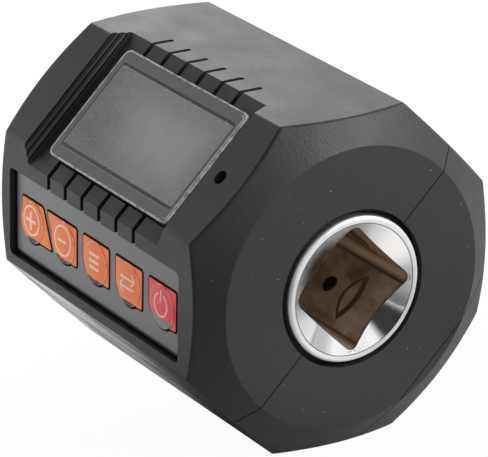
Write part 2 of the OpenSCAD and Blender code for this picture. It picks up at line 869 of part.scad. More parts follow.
module window_gasket() {
    color("#101010") window_place() translate([0, 0, flange_top_w]) difference() {
        linear_extrude(gasket_t) rounded_rect(flange_w, flange_l, window_r);
        translate([0, 0, -overrun]) linear_extrude(gasket_t + 2 * overrun)
            rounded_rect(window_w + 2 * fit, window_l + 2 * fit, window_r);
    }
}

module lcd_frame() {
    color("#e4e6e4") window_place() translate([0, 0, board_top_w]) difference() {
        linear_extrude(lcd_frame_h) rounded_rect(flange_w, flange_l, window_r);
        translate([0, 0, -overrun]) linear_extrude(lcd_frame_h + 2 * overrun)
            rounded_rect(flange_w - 2 * lcd_frame_wall, flange_l - 2 * lcd_frame_wall, fine_gap);
    }
}

module lcd_glass() {
    color("#8d9a94") window_place()
        block([-lcd_w / 2, -lcd_l / 2, lcd_under_w], [lcd_w / 2, lcd_l / 2, lcd_top_w]);
}

module backlight() {
    color("#f2f2ec") window_place() block([-lcd_w / 2, -lcd_l / 2, board_top_w],
        [lcd_w / 2 - zebra_w - fine_gap, lcd_l / 2, lcd_under_w]);
}

module lcd_connector() {
    color("#d66a86") window_place() block([lcd_w / 2 - zebra_w, -lcd_l / 2 + zebra_end, board_top_w],
        [lcd_w / 2, lcd_l / 2 - zebra_end, lcd_under_w]);
}

module main_board() {
    color("#1d6b3c") on_display() difference() {
        block([-board_left, board_front_y, board_under_w], [board_right, board_rear_y, board_top_w]);
        board_screw_places() translate([0, 0, board_under_w - overrun])
            cylinder(h = board_t + 2 * overrun, r = board_screw_radius + fit);
    }
}

module chip(size_u, size_y, u, y) {
    translate([u, y, board_under_w - chip_t]) {
        block([-size_u / 2, -size_y / 2, 0], [size_u / 2, size_y / 2, chip_t - fit]);
        block([-size_u / 2 + chip_pins, -size_y / 2 - chip_pins, chip_t / 2],
            [size_u / 2 - chip_pins, size_y / 2 + chip_pins, chip_t]);
    }
}

module board_chips() {
    color("#1a1a1a") on_display() {
        chip(chip_large, chip_large, 0, gauge_y - chip_large);
        chip(chip_small, chip_small, chip_large, gauge_y + chip_small / 2);
        chip(chip_small, chip_large, -chip_large, gauge_y + chip_small);
    }
}

module board_screws() {
    head_w = board_under_w - board_screw_head_h;
    color("#8f9296") on_display() board_screw_places() translate([0, 0, head_w]) difference() {
        union() {
            cylinder(h = board_screw_head_h, r = board_screw_head_radius);
            cylinder(h = board_screw_head_h + board_t + board_screw_reach, r = board_screw_radius);
        }
        cross_recess(board_screw_head_radius, board_screw_head_h / 2);
    }
}

module buzzer() {
    color("#202020") on_display() translate([0, buzzer_y, board_top_w]) difference() {
        cylinder(h = shelf_under_w - board_top_w - fine_gap, r = buzzer_radius);
        translate([0, 0, (shelf_under_w - board_top_w) / 2]) cylinder(h = apothem, d = buzzer_hole_d / 2);
    }
}

// Outlines of the keys, in height and place along the keypad
module square_key_outline(grow = 0) rounded_rect(key_h, key_w, key_radii, grow);

// The slanting side shared by the plus and minus keys, at its lower and upper ends
function slant_y(side, height) =
    (plus_key_y + minus_key_y) / 2 - slant_shift + side * slant_gap / 2 + slant_offset * height / key_h;

module plus_key_outline(grow = 0) {
    half = key_h / 2;
    rounded_outline([[-half, slant_y(1, -half) - plus_key_y], [half, slant_y(1, half) - plus_key_y],
        [half, plus_side], [-half, plus_side]], key_radii, grow);
}

module minus_key_outline(grow = 0) {
    half = key_h / 2;
    rounded_outline([[-half, -key_w / 2], [half, -key_w / 2],
        [half, slant_y(-1, half) - minus_key_y], [-half, slant_y(-1, -half) - minus_key_y]],
        key_radii, grow);
}

module key_place(y) on_keypad() translate([keypad_mid_z, y, 0]) children();

// A key: its pad in the overlay, a low dome on it, a flange behind, and a nub over its switch
module key_body(y) {
    flange_top = overlay_back - fit;
    flange_bottom = flange_top - key_flange_t;
    nub_bottom = ledge_back + dome_h + fit;
    sphere_radius = (pow(key_dome_d / 2, 2) + pow(key_dome_h, 2)) / (2 * key_dome_h);
    key_place(y) {
        translate([0, 0, flange_bottom]) linear_extrude(overlay_face + key_proud - flange_bottom) {
            children();
            circle(d = key_dome_d);
        }
        translate([0, 0, nub_bottom]) cylinder(h = flange_top - nub_bottom, d = dome_d / 2);
        translate([0, 0, flange_bottom]) cylinder(h = key_flange_t, d = key_dome_d + 2 * key_flange);
        intersection() {
            translate([0, 0, overlay_face + key_proud + key_dome_h - sphere_radius])
                sphere(r = sphere_radius, $fn = 96);
            translate([0, 0, overlay_face]) cylinder(h = key_dome_h + key_proud + overrun, d = key_dome_d);
        }
    }
}

module key_plus() color("#e87b45") key_body(plus_key_y) plus_key_outline();
module key_minus() color("#e87b45") key_body(minus_key_y) minus_key_outline();
module key_mode() color("#e87b45") key_body(mode_key_y) square_key_outline();
module key_unit() color("#e87b45") key_body(unit_key_y) square_key_outline();
module key_power() color("#cc4052") key_body(power_key_y) square_key_outline();

module key_window(y) {
    key_place(y) translate([0, 0, overlay_back - overrun]) linear_extrude(overlay_t + 2 * overrun) {
        children();
        circle(d = key_dome_d + 2 * key_gap);
    }
}

module keypad_overlay() {
    color("#808181") difference() {
        keypad_place() translate([0, 0, overlay_back]) linear_extrude(overlay_t)
            rounded_rect(recess_h - 2 * overlay_gap, recess_l - 2 * overlay_gap, recess_r - overlay_gap);
        key_window(plus_key_y) plus_key_outline(key_gap);
        key_window(minus_key_y) minus_key_outline(key_gap);
        for (y = [power_key_y, unit_key_y, mode_key_y]) key_window(y) square_key_outline(key_gap);
    }
}

module keypad_gasket() {
    outer_h = recess_h - 2 * fit;
    outer_l = recess_l - 2 * fit;
    inner_h = recess_h - 2 * overlay_gap - 2 * ledge_rim;
    inner_l = recess_l - 2 * overlay_gap - 2 * ledge_rim;
    color("#0c0c0c") keypad_place() translate([0, 0, ledge_face]) difference() {
        linear_extrude(keypad_gasket_t) rounded_rect(outer_h, outer_l, recess_r);
        translate([0, 0, -overrun]) linear_extrude(keypad_gasket_t + 2 * overrun)
            rounded_rect(inner_h, inner_l, recess_r);
    }
}

module key_board() {
    half_h = recess_h / 2 - overlay_gap;
    half_l = recess_l / 2 - overlay_gap;
    color("#1d6b3c") keypad_place()
        block([-half_h, -half_l, ledge_back - key_board_t], [half_h, half_l, ledge_back]);
}

module snap_domes() {
    color("#c8c8c4") for (y = [power_key_y, unit_key_y, mode_key_y, minus_key_y, plus_key_y])
        key_place(y) translate([0, 0, ledge_back]) cylinder(h = dome_h, d1 = dome_d, d2 = dome_d / 2);
}

// The short ribbon that joins the key board to the main board
module key_ribbon() {
    board_back = ledge_back - key_board_t;
    tip = board_back / cos(facet_turn) - board_top_w - ribbon_t - fit;
    color("#b9772c") on_display() block([-tip, mid_y - ribbon_w, board_top_w],
        [-board_left + ribbon_lap, mid_y, board_top_w + ribbon_t]);
}

// A cell with its button towards the socket end
module cell(u, y) {
    on_display() translate([u, y, -cell_w]) rotate([-90, 0, 0]) {
        translate([0, 0, button_h]) cylinder(h = cell_l - button_h, r = cell_radius);
        cylinder(h = cell_l, r = button_radius);
    }
}

module battery_left() color("#4d5560") cell(-cell_u, left_cell_y);

module battery_right() {
    color("#4d5560") translate([0, 2 * right_cell_y + cell_l, 0]) mirror([0, 1, 0])
        cell(cell_u, right_cell_y);
}

module battery_springs() {
    rear_gap = rear_inside_y - contact_t - left_cell_y - cell_l;
    front_gap = right_cell_y - front_inside_y - contact_t;
    color("#a9adb2") on_display() {
        translate([-cell_u, left_cell_y + cell_l, -cell_w]) rotate([-90, 0, 0])
            coil(spring_radius, spring_wire, spring_turns, rear_gap);
        translate([cell_u, front_inside_y + contact_t, -cell_w]) rotate([-90, 0, 0])
            coil(spring_radius, spring_wire, spring_turns, front_gap);
    }
}

// Bent plates: one joins the two cells at the front, two carry the leads at the rear
module battery_contacts() {
    low = -cell_w - contact_low;
    high = -hub_radius - fine_gap;
    outer = contact_foot + contact_l;
    link_y = left_cell_y - contact_t;
    nub_y = right_cell_y + cell_l;
    arm = lead_u + lead_radius;
    color("#c7cacd") on_display() {
        block([-outer, link_y, low], [-contact_foot, left_cell_y, high]);
        block([-contact_foot, front_inside_y, low], [-contact_foot + contact_t, left_cell_y, high]);
        block([-contact_foot, front_inside_y, low], [outer, front_inside_y + contact_t, high]);
        block([-outer, rear_inside_y - contact_t, low], [-contact_foot, rear_inside_y, high]);
        block([-arm, rear_inside_y - contact_t, high - arm_h], [-contact_foot, rear_inside_y, high]);
        block([-arm, lead_y, high - arm_h], [-arm + contact_t, rear_inside_y, high]);
        block([contact_foot, nub_y, low], [outer, nub_y + contact_t, high]);
        block([contact_foot, nub_y, high - arm_h], [arm, nub_y + contact_t, high]);
    }
}

// A lead from each rear contact, up past the shaft and in under the board
module battery_leads() {
    top_w = board_under_w - lead_radius;
    color("#b03030") on_display() for (side = [-1, 1]) translate([side * lead_u, lead_y, 0]) {
        translate([0, 0, -hub_radius]) cylinder(h = hub_radius + top_w, r = lead_radius);
        translate([0, 0, top_w]) sphere(r = lead_radius);
        translate([0, 0, top_w]) rotate([0, -side * 90, 0]) cylinder(h = lead_lap, r = lead_radius);
    }
}

display_shell();
battery_shell();
battery_cover();
cover_screw();
shell_screws();
drive_shaft();
front_bush();
rear_bush();
detent_ball();
detent_spring();
strain_gauges();
gauge_ribbon();
display_window();
window_gasket();
lcd_frame();
lcd_glass();
backlight();
lcd_connector();
main_board();
board_chips();
board_screws();
buzzer();
keypad_overlay();
keypad_gasket();
key_plus();
key_minus();
key_mode();
key_unit();
key_power();
key_board();
snap_domes();
key_ribbon();
battery_left();
battery_right();
battery_springs();
battery_contacts();
battery_leads();
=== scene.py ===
import math

import bmesh
import bpy
from bpy.props import FloatProperty, FloatVectorProperty, PointerProperty
from mathutils import Matrix, Vector


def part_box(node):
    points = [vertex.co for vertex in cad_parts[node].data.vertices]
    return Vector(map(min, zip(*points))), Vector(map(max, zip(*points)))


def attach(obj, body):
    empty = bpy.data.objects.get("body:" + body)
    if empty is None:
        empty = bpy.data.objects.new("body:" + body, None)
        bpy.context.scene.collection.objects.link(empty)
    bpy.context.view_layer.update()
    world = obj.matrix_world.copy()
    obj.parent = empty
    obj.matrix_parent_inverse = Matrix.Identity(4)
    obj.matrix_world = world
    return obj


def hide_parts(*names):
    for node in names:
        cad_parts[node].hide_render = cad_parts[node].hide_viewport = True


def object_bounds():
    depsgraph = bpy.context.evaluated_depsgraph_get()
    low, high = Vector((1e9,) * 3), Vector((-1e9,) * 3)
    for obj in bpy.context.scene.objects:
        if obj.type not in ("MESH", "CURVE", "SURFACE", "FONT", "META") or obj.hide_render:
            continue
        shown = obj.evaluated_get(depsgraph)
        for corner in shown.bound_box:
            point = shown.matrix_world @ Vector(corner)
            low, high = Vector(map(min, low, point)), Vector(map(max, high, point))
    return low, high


bl_info = {
    "name": "Digital torque adapter",
    "version": (1, 0, 0),
    "blender": (4, 5, 0),
    "location": "3D View > Sidebar > Torque adapter",
    "description": "Finishes the pieces of a digital torque adapter round its frame",
    "category": "Add Mesh",
}

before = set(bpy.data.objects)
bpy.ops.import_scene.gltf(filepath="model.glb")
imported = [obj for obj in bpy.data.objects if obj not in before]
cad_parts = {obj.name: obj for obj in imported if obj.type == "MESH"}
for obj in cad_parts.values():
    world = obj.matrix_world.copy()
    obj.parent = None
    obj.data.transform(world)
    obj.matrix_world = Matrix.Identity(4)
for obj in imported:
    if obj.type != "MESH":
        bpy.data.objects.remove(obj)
cad_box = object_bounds()

MM = 0.001
TURN = math.tau

# A facet's own directions: x across it, y along the drive axis, z out of it
SIDE = math.sqrt(0.5)
DISPLAY = Matrix(((SIDE, 0, -SIDE), (0, 1, 0), (SIDE, 0, SIDE))).to_4x4()
KEYPAD = Matrix(((0, 0, -1), (0, 1, 0), (1, 0, 0))).to_4x4()
# The drive axis, level with the display facet: x across it, y out of it, z back to the socket's end
AXIS = Matrix(((SIDE, -SIDE, 0), (0, 0, -1), (SIDE, SIDE, 0))).to_4x4()

# The window's flange under the shell, and the corners of the block that stands on it
FLANGE = Vector((0.7, 0.7, 0)) * MM
WINDOW_CORNER = 1.2 * MM

# Towards the bright side of the studio, along the floor
BRIGHT = Vector((0.94, 0.34))

BLACK = (0.003, 0.003, 0.003)
WHITE = (1, 1, 1)


def box_on(node, facet):
    """The lowest and highest corners of a node in a facet's directions."""
    back = facet.inverted()
    points = [back @ vertex.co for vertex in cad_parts[node].data.vertices]
    return tuple(Vector([pick(point[axis] for point in points) for axis in range(3)]) for pick in (min, max))


def window_place():
    """The window's corners on its facet, its middle, and half the size of its block."""
    low, high = box_on("display_window", DISPLAY)
    return low, high, (low + high) / 2, (high - low) / 2 - FLANGE


def scaled(colour, share, lift=0.0):
    return [value * share + lift for value in colour]


# Shader maths

class Signal:
    """A value or colour that one of a finish's nodes gives, with ordinary arithmetic."""

    def __init__(self, finish, socket):
        self.finish = finish
        self.socket = socket

    def other(self, output):
        """Another output of the same node."""
        return Signal(self.finish, self.socket.node.outputs[output])

    def maths(self, operation, *values):
        return self.finish.add("ShaderNodeMath", {"operation": operation}, values)

    def __add__(self, other):
        return self.maths("ADD", self, other)

    def __sub__(self, other):
        return self.maths("SUBTRACT", self, other)

    def __rsub__(self, other):
        return self.maths("SUBTRACT", other, self)

    def __mul__(self, other):
        return self.maths("MULTIPLY", self, other)

    def __truediv__(self, other):
        return self.maths("DIVIDE", self, other)

    def __pow__(self, other):
        return self.maths("POWER", self, other)

    def __abs__(self):
        return self.maths("ABSOLUTE", self)

    def least(self, other):
        return self.maths("MINIMUM", self, other)

    def most(self, other):
        return self.maths("MAXIMUM", self, other)

    def rise(self, start, end):
        """0 up to start, 1 from end, and smooth between them."""
        return self.finish.add("ShaderNodeMapRange", {"interpolation_type": "SMOOTHSTEP"},
                               {"Value": self, "From Min": start, "From Max": end})

    def fall(self, start, end):
        """1 up to start, 0 from end, and smooth between them."""
        return 1 - self.rise(start, end)

    def rise_mm(self, start, end):
        """The rise of a length, from start to end in millimetres."""
        return self.rise(start * MM, end * MM)

    def fall_mm(self, start, end):
        return self.fall(start * MM, end * MM)

    def swing(self, size):
        """A noise turned into a change either way, of the given size in all."""
        return size * (self - 0.5)

    __radd__ = __add__
    __rmul__ = __mul__


class Finish:
    """A material in the making: its principled shader and the nodes that feed it."""

    def __init__(self, name, constants):
        self.material = bpy.data.materials.new(name)
        self.material.use_nodes = True
        self.tree = self.material.node_tree
        self.shader = self.tree.nodes["Principled BSDF"]
        for socket, value in constants.items():
            self.put(value, self.shader.inputs[socket])
        self.point = self.add("ShaderNodeTexCoord", output="Object")

    def put(self, value, socket):
        if isinstance(value, Signal):
            self.tree.links.new(value.socket, socket)
        elif socket.type == "RGBA" and len(value) == 3:
            socket.default_value = (*value, 1)
        else:
            socket.default_value = value

    def add(self, kind, settings=None, values=(), output=0):
        """A new node with its settings and inputs, given by place or by name."""
        node = self.tree.nodes.new(kind)
        for name, value in (settings or {}).items():
            setattr(node, name, value)
        places = values.items() if isinstance(values, dict) else enumerate(values)
        for place, value in places:
            self.put(value, node.inputs[place])
        return Signal(self, node.outputs[output])

    def feed(self, **signals):
        """Links signals to the shader: base_color feeds Base Color."""
        for name, signal in signals.items():
            self.put(signal, self.shader.inputs[name.replace("_", " ").title()])
        return self.material

    def coordinates(self):
        x = self.add("ShaderNodeSeparateXYZ", None, [self.point])
        return x, x.other("Y"), x.other("Z")

    def on_display(self):
        """Places across the display facet, along the drive axis and out of the facet."""
        x, y, z = self.coordinates()
        return (x + z) * SIDE, y, (z - x) * SIDE

    def noise(self, size, detail=2.0, stretch=(1, 1, 1)):
        """Smooth noise whose features are about size millimetres large."""
        scale = 1 / (size * MM)
        point = self.add("ShaderNodeMapping", None, {"Vector": self.point, "Scale": stretch})
        return self.add("ShaderNodeTexNoise", None, {"Vector": point, "Scale": scale, "Detail": detail})

    def specks(self, spacing, size, share):
        """Small round specks in a share of cells, whose spacing is in millimetres."""
        cells = {"Vector": self.point, "Scale": 1 / (spacing * MM)}
        distance = self.add("ShaderNodeTexVoronoi", None, cells, "Distance")
        chosen = self.add("ShaderNodeSeparateColor", None, [distance.other("Color")])
        return distance.fall(size * 0.5, size) * chosen.rise(1 - share, 1 - share * 0.9)

    def camera_ray(self):
        return self.add("ShaderNodeLightPath", output="Is Camera Ray")

    def blend(self, share, first, second):
        return self.add("ShaderNodeMix", {"data_type": "RGBA"}, {0: share, 6: first, 7: second}, output=2)

    def layered(self, tone, *layers):
        """A colour under others, each given after the share of it that shows."""
        for share, colour in layers:
            tone = self.blend(share, tone, colour)
        return tone

    def bump(self, height, depth):
        """A surface roughened by a height, to a depth in millimetres."""
        return self.add("ShaderNodeBump", None, {"Height": height, "Distance": depth * MM, "Strength": 1.0})


class Studio(Finish):
    """The world's shader in the making, over the directions round the object."""

    def __init__(self, name):
        self.world = bpy.data.worlds.new(name)
        self.world.use_nodes = True
        self.tree = self.world.node_tree
        self.point = self.add("ShaderNodeTexCoord", output="Generated")


# Finishes

def moulded_plastic(name, colour, roughness, ior=1.5, dust_and_light=0.0, blackened=None, scuffed_and_highlit=None, ribbed=None):
    """Plastic with the fine even texture of an eroded mould, a little uneven in gloss."""
    finish = Finish(name, {"IOR": ior})
    grain, depth = 0.18, 0.018
    broad = finish.noise(7)
    fine = finish.noise(grain, 3)
    coarse = finish.noise(grain * 2.5)
    streaks = finish.noise(0.5, 4, (1, 0.04, 1))
    smear = finish.noise(3.5, 6, (1, 0.5, 1))
    gloss = roughness + broad.swing(0.1) + fine.swing(0.12) + smear.swing(0.16)
    layers = [(broad * 0.5, scaled(colour, 1.25)), (fine.rise(0.42, 0.72) * 0.4, scaled(colour, 2.0, 0.01))]
    if dust_and_light:
        specks = finish.specks(1.3, 0.10, dust_and_light).most(finish.specks(0.8, 0.11, dust_and_light))
        layers.append((specks * 0.7, (0.36, 0.36, 0.37)))
    # Black marks: painted shadow and shade on the display shell, and the dark line where the shells meet
    if blackened:
        layers.append((blackened(finish), (0.002, 0.002, 0.002)))
    # Painted light on the ribs of the pocket's rear wall, and painted shade, black, in its grooves
    if ribbed:
        lit_rib, groove = ribbed(finish)
        layers += [(lit_rib, (0.17, 0.168, 0.17)), (groove, BLACK)]
    # Painted reflection: pale streaks, which are also less rough
    if scuffed_and_highlit:
        scuff_and_highlight = scuffed_and_highlit(finish)
        layers.append((scuff_and_highlight, (0.10, 0.10, 0.10)))
        gloss = gloss - scuff_and_highlight * 0.34
    return finish.feed(
        base_color=finish.layered(colour, *layers),
        roughness=gloss,
        normal=finish.bump(fine + coarse * 1.5 + streaks * 1.2, depth))


def steel(name, colour, roughness):
    """Bright plated steel with faint cloudy wiping marks."""
    finish = Finish(name, {"Metallic": 1.0})
    cloud = finish.noise(2.4, 4)
    fine = finish.noise(0.12, stretch=(1, 0.25, 1))
    return finish.feed(
        base_color=finish.blend(cloud * 0.6, colour, scaled(colour, 0.86)),
        roughness=roughness + cloud.swing(0.10) + fine.swing(0.05),
        normal=finish.bump(fine, 0.0015))


def plated_shaft(name, look):
    """Polished chrome outside, and the dull bronze walls of the socket where the plating thins out."""
    finish = Finish(name, {})
    x, y, z = finish.coordinates()
    cloud = finish.noise(1.6, 4)
    drawn = finish.noise(2.6, 5, (1, 0.5, 1))
    fine = finish.noise(0.25, 3, (1, 0.4, 1))
    radius = (x * x + z * z) ** 0.5
    rim_radius, half = look.mouth_diameter / 2, look.socket_square / 2
    slope = look.mouth_depth / (rim_radius - look.mouth_floor / 2)
    past_mouth = y - ((rim_radius - radius) * slope).most(0)
    past_rim = radius - rim_radius
    inside = past_mouth.rise_mm(0.05, 0.25) * past_rim.fall_mm(-0.2, 0)
    inside = inside * (y - look.socket_end).fall_mm(0, 1)

    # The rounded corners of the square, with painted shade at their foot, painted light across them and a
    # painted highlight along their middle
    corner = abs(x).most(abs(z))
    glint = corner.rise_mm(8.47, 8.54) * y.fall_mm(1.5, 13)

    # The ring groove, for painted shade along its outline, on its front slope and along its bottom
    below = abs(x + z).most(abs(z - x)) * SIDE - half
    in_groove = below.rise_mm(0.01, 0.05) * (y - look.groove_end).fall_mm(0, 0.3)
    line = look.groove_bottom + 0.35 * MM

    # The release hole, with painted shade on one side and painted light on the rest
    across = (x + z) * SIDE
    from_hole = (across ** 2 + (y - look.hole_place) ** 2) ** 0.5
    in_hole = (from_hole - look.hole_diameter / 2).fall_mm(0, 0.06) * ((x - z) * SIDE - half).rise_mm(0, 0.05)
    from_shine = ((across + 0.45 * MM) ** 2 + (y - look.hole_place + 0.4 * MM) ** 2) ** 0.5
    hole_shade = from_shine.rise_mm(0.85, 1.0)

    # Each coat on the walls: the share of it that shows, and its shade of the bronze
    coats = (
        (fine.rise(0.5, 0.8) * 0.3, 1.4),
        # Painted light: the walls lighter near the mouth, fading deeper in
        (past_mouth.fall_mm(3.5, 9) * (0.7 + cloud.swing(1.2) + drawn.swing(1.2)), 1.95),
        # Painted shade at the corners' foot, painted light across them and a painted highlight along their
        # middle
        (corner.rise_mm(7.95, 8.03), 0.45),
        (corner.rise_mm(8.15, 8.5) * (drawn * 0.8 + 0.3), 2.0),
        (glint * (drawn * 0.6 + 0.4), 2.0, 0.1),
        # Painted shade along the groove's outline, on its front slope and along its bottom
        (in_groove * below.fall_mm(0.15, 0.23), 0.25),
        (in_groove * (y - look.groove_bottom).fall_mm(0, 0.1) * 0.8, 0.3),
        (in_groove * abs(y - line).fall_mm(0.3, 0.45), 0.3),
        # Painted shade on one side of the hole, painted light on the rest
        (in_hole * hole_shade, 0.12),
        (in_hole * (1 - hole_shade) * drawn.rise(0.45, 0.55), 1.9),
        # Painted shade along the top of the walls, next to the mouth
        (0.7 - past_mouth.rise_mm(0.1, 0.7) * 0.7, 0.35))
    walls = finish.blend(drawn.rise(0.35, 0.65), scaled(look.bronze, 0.5), look.bronze)
    walls = finish.layered(walls, *((share, scaled(look.bronze, *shade)) for share, *shade in coats))

    # The rim, a thin dark line inside it, the tarnish on the display's side of the mouth, and the plug
    rim = past_rim.rise_mm(0, 0.1)
    flat = rim * past_rim.fall_mm(0.85, 1.1)
    seam = abs(past_rim).fall_mm(0.03, 0.08) * y.fall_mm(0.1, 0.2)
    tarnish = ((z - x) * SIDE / radius).rise(0.35, 0.75) * (1 - rim) * y.fall_mm(2, 2.1)
    tarnish = tarnish * (1.15 - radius.rise_mm(5.5, 9.7) * 0.6 + cloud.swing(0.4))
    plug = (y - look.plug_start).rise_mm(0, 1)
    bright = finish.layered(
        look.chrome,
        (cloud * 0.5, scaled(look.chrome, 0.9)),
        (flat, [min(1, value) for value in scaled(look.chrome, 1.12)]),
        (seam, scaled(look.chrome, 0.2)),
        (tarnish, scaled(look.bronze, 0.16)),
        (plug, scaled(look.chrome, 0.5)))
    dull = inside * (0.25 + fine.swing(0.2)) + flat.most(plug) * 0.2 + tarnish * 0.1
    return finish.feed(
        base_color=finish.blend(inside, bright, walls),
        metallic=1 - inside * 0.3 - flat * 0.4,
        roughness=0.09 + cloud.swing(0.05) + dull,
        normal=finish.bump(cloud * 0.5 + (fine + drawn * 2) * inside * 0.7, 0.012))


def rounded_outline(across, along, half, corner):
    """Distance outside a rectangle with round corners, and less than nothing inside it."""
    out_x = abs(across) - (half.x - corner)
    out_y = abs(along) - (half.y - corner)
    past = (out_x.most(0) ** 2 + out_y.most(0) ** 2) ** 0.5
    return past + out_x.most(out_y).least(0) - corner


def window_plastic(name, look, middle, half, top):
    """Smoked window: a plain border, a line of painted shadow, the paler field over the display, and wear
    with a painted highlight along its edges.
    """
    finish = Finish(name, {"IOR": 1.49, "Coat Roughness": 0.1})
    across, y, outward = finish.on_display()
    cloud = finish.noise(9, 3)
    smoke = finish.noise(3, 5)
    fine = finish.noise(0.3, 4)
    ragged = finish.noise(0.7, 5)
    field = Vector((look.field_width, look.field_length)) / 2
    side, end = across - middle.x, y - look.field_middle
    edge = rounded_outline(side, y - middle.y, half, WINDOW_CORNER)
    field_edge = rounded_outline(side, end, field, 0.5 * MM)

    # Painted shade to the rear and round the field's edges; the line round it is painted shadow, wider at its
    # sides
    rear = (y - middle.y - across * 0.6).rise_mm(-3, 15)
    inside = field_edge.fall_mm(-0.05, 0)
    sideways = (abs(side) - field.x - (abs(end) - field.y)).rise_mm(-0.3, 0.3)
    shadow_line = (abs(field_edge) - sideways * (0.17 * MM)).fall_mm(0.05, 0.16)
    border = finish.blend((cloud * 0.6).most(rear * 0.9), look.border, scaled(look.border, 0.78))
    screen = finish.layered(
        look.screen,
        (rear * 0.85 + smoke.swing(0.5), scaled(look.screen, 0.31)),
        (field_edge.rise_mm(-5.5, 0) * 0.6, scaled(look.screen, 0.48)))

    # Dust, wiping marks and hairlines on the field, the block's edge with wear and a painted highlight, and
    # black on its sides below the top
    dust_and_light = finish.specks(0.7, 0.12, 0.3).most(finish.specks(1.2, 0.10, 0.1))
    wiped = finish.noise(0.28, 5, (1, 0.3, 1)).rise(0.5, 0.8)
    scratched = (smoke + ragged - 0.5).rise(0.5, 0.6) * inside * 0.3
    hairlines = [abs(finish.noise(size, 1) - level).fall(0.001, 0.005) * scratched
                 for size, level in ((5, 0.5), (3, 0.46))]
    scuff_and_highlight = finish.noise(1.1, 6).rise(0.32, 0.55) * 0.7 + 0.3
    front = (middle.y - half.y + WINDOW_CORNER - y).rise_mm(-0.5, 0.5)
    worn_and_highlit = (edge + (ragged - 0.5) * (0.3 + 0.5 * front) * MM).rise_mm(-0.3, -0.18) * scuff_and_highlight
    second = abs(edge + 0.55 * MM).fall_mm(0.04, 0.16)
    worn_and_highlit = worn_and_highlit.most(second * front * scuff_and_highlight) * (outward - top).rise_mm(-0.5, -0.3)
    tone = finish.layered(
        finish.blend(inside, border, screen),
        (shadow_line, look.line),
        (dust_and_light * 0.45, scaled(look.screen, 1.8)),
        (wiped * inside * 0.2, scaled(look.screen, 1.6)),
        *((hairline, look.scuff_and_highlight) for hairline in hairlines),
        (worn_and_highlit * 0.9, look.scuff_and_highlight),
        ((top - outward).rise_mm(0.45, 0.55), BLACK))
    return finish.feed(
        base_color=tone,
        roughness=0.34 + cloud.swing(0.1) + fine.swing(0.08) + shadow_line * 0.1,
        coat_weight=0.35 + cloud.swing(0.3),
        normal=finish.bump(fine + cloud * 2 - shadow_line * 6, 0.006))


# Printed signs, on places across a key and up it, with sizes in millimetres

def printed(out):
    """A shape's ink, from the distance outside the shape."""
    return out.fall_mm(-0.05, 0.05)


def bar(across, up, level, width, height):
    """A bar over or under the middle."""
    return printed((abs(across) - width * MM / 2).most(abs(up - level * MM) - height * MM / 2))


def ring(across, up, radius, width):
    return printed(abs((across * across + up * up) ** 0.5 - radius * MM) - width * MM / 2)


def arrow(across, up, level, tip, length, width):
    """An arrowhead to the right, or to the left where its tip lies there."""
    back = (tip * MM - across) * math.copysign(1, tip)
    return printed((abs(back - abs(up - level * MM)) - width * MM * 0.7).most(back - length * MM))


def plus_sign(*place):
    return bar(*place, 0, 2.7, 0.46).most(bar(*place, 0, 0.46, 2.7)).most(ring(*place, 2.05, 0.3))


def minus_sign(*place):
    return bar(*place, 0, 2.2, 0.38).most(ring(*place, 2.1, 0.3))


def list_sign(*place):
    return bar(*place, 0, 2.5, 0.4).most(bar(*place, -0.95, 2.5, 0.4)).most(bar(*place, 0.95, 2.5, 0.4))


def swap_sign(*place):
    left, right = (bar(*place, 0.65 * way, 3.3, 0.3).most(arrow(*place, 0.65 * way, 1.85 * way, 0.85, 0.24))
                   for way in (-1, 1))
    return left.most(right)


def standby_sign(*place):
    opened = 1 - bar(*place, 1.5, 1.1, 2.0)
    return (ring(*place, 1.55, 0.28) * opened).most(bar(*place, 1.2, 0.28, 1.7))


def printed_key(name, colour, middle, sign, look, face, low_part, from_low):
    """A key's moulded rubber under a clear film: a printed sign, a painted highlight along the dome's edge,
    and a low part.
    """
    # The key's face glows faintly: painted light
    finish = Finish(name, {"IOR": 1.5, "Coat Roughness": 0.14, "Emission Strength": 0.22})
    x, y, z = finish.coordinates()
    across = middle[1] - y
    up = z - middle[0]
    cloud = finish.noise(2.2, 3)
    fine = finish.noise(0.15)
    dome = look.dome_diameter / 2
    from_dome = (across * across + (up + look.dome_drop) ** 2) ** 0.5
    beyond = (from_low - up + (cloud - 0.5) * MM).rise_mm(-0.05, 0.05)
    beyond = beyond * (from_dome - dome).fall_mm(0, 0.1)
    # Painted highlight along the dome's edge, broken into arcs
    dome_edge_highlight = abs(from_dome - 2.96 * MM).fall_mm(0.02, 0.08)
    # The key's sides, in painted shade
    side = (x + face + look.key_proud).rise_mm(0.04, 0.10)
    tone = finish.layered(
        colour,
        (cloud.rise(0.3, 0.7) * 0.6, scaled(colour, 0.82)),
        (beyond, low_part),
        (dome_edge_highlight * finish.noise(1.5).rise(0.42, 0.52) * 0.8, look.ink),
        (sign(across, up) * (fine.rise(0.1, 0.5) * 0.3 + 0.7), look.ink),
        (side, (0.05, 0.032, 0.03)))
    return finish.feed(
        base_color=tone,
        roughness=0.42 + cloud.swing(0.1),
        coat_weight=0.08 + cloud.swing(0.1),
        # Painted light: a faint glow from the key's face, none from its sides or low part
        emission_color=finish.blend(side.most(beyond), scaled(colour, 0.92, 0.08), (0, 0, 0)),
        normal=finish.bump(finish.noise(0.8), 0.012))


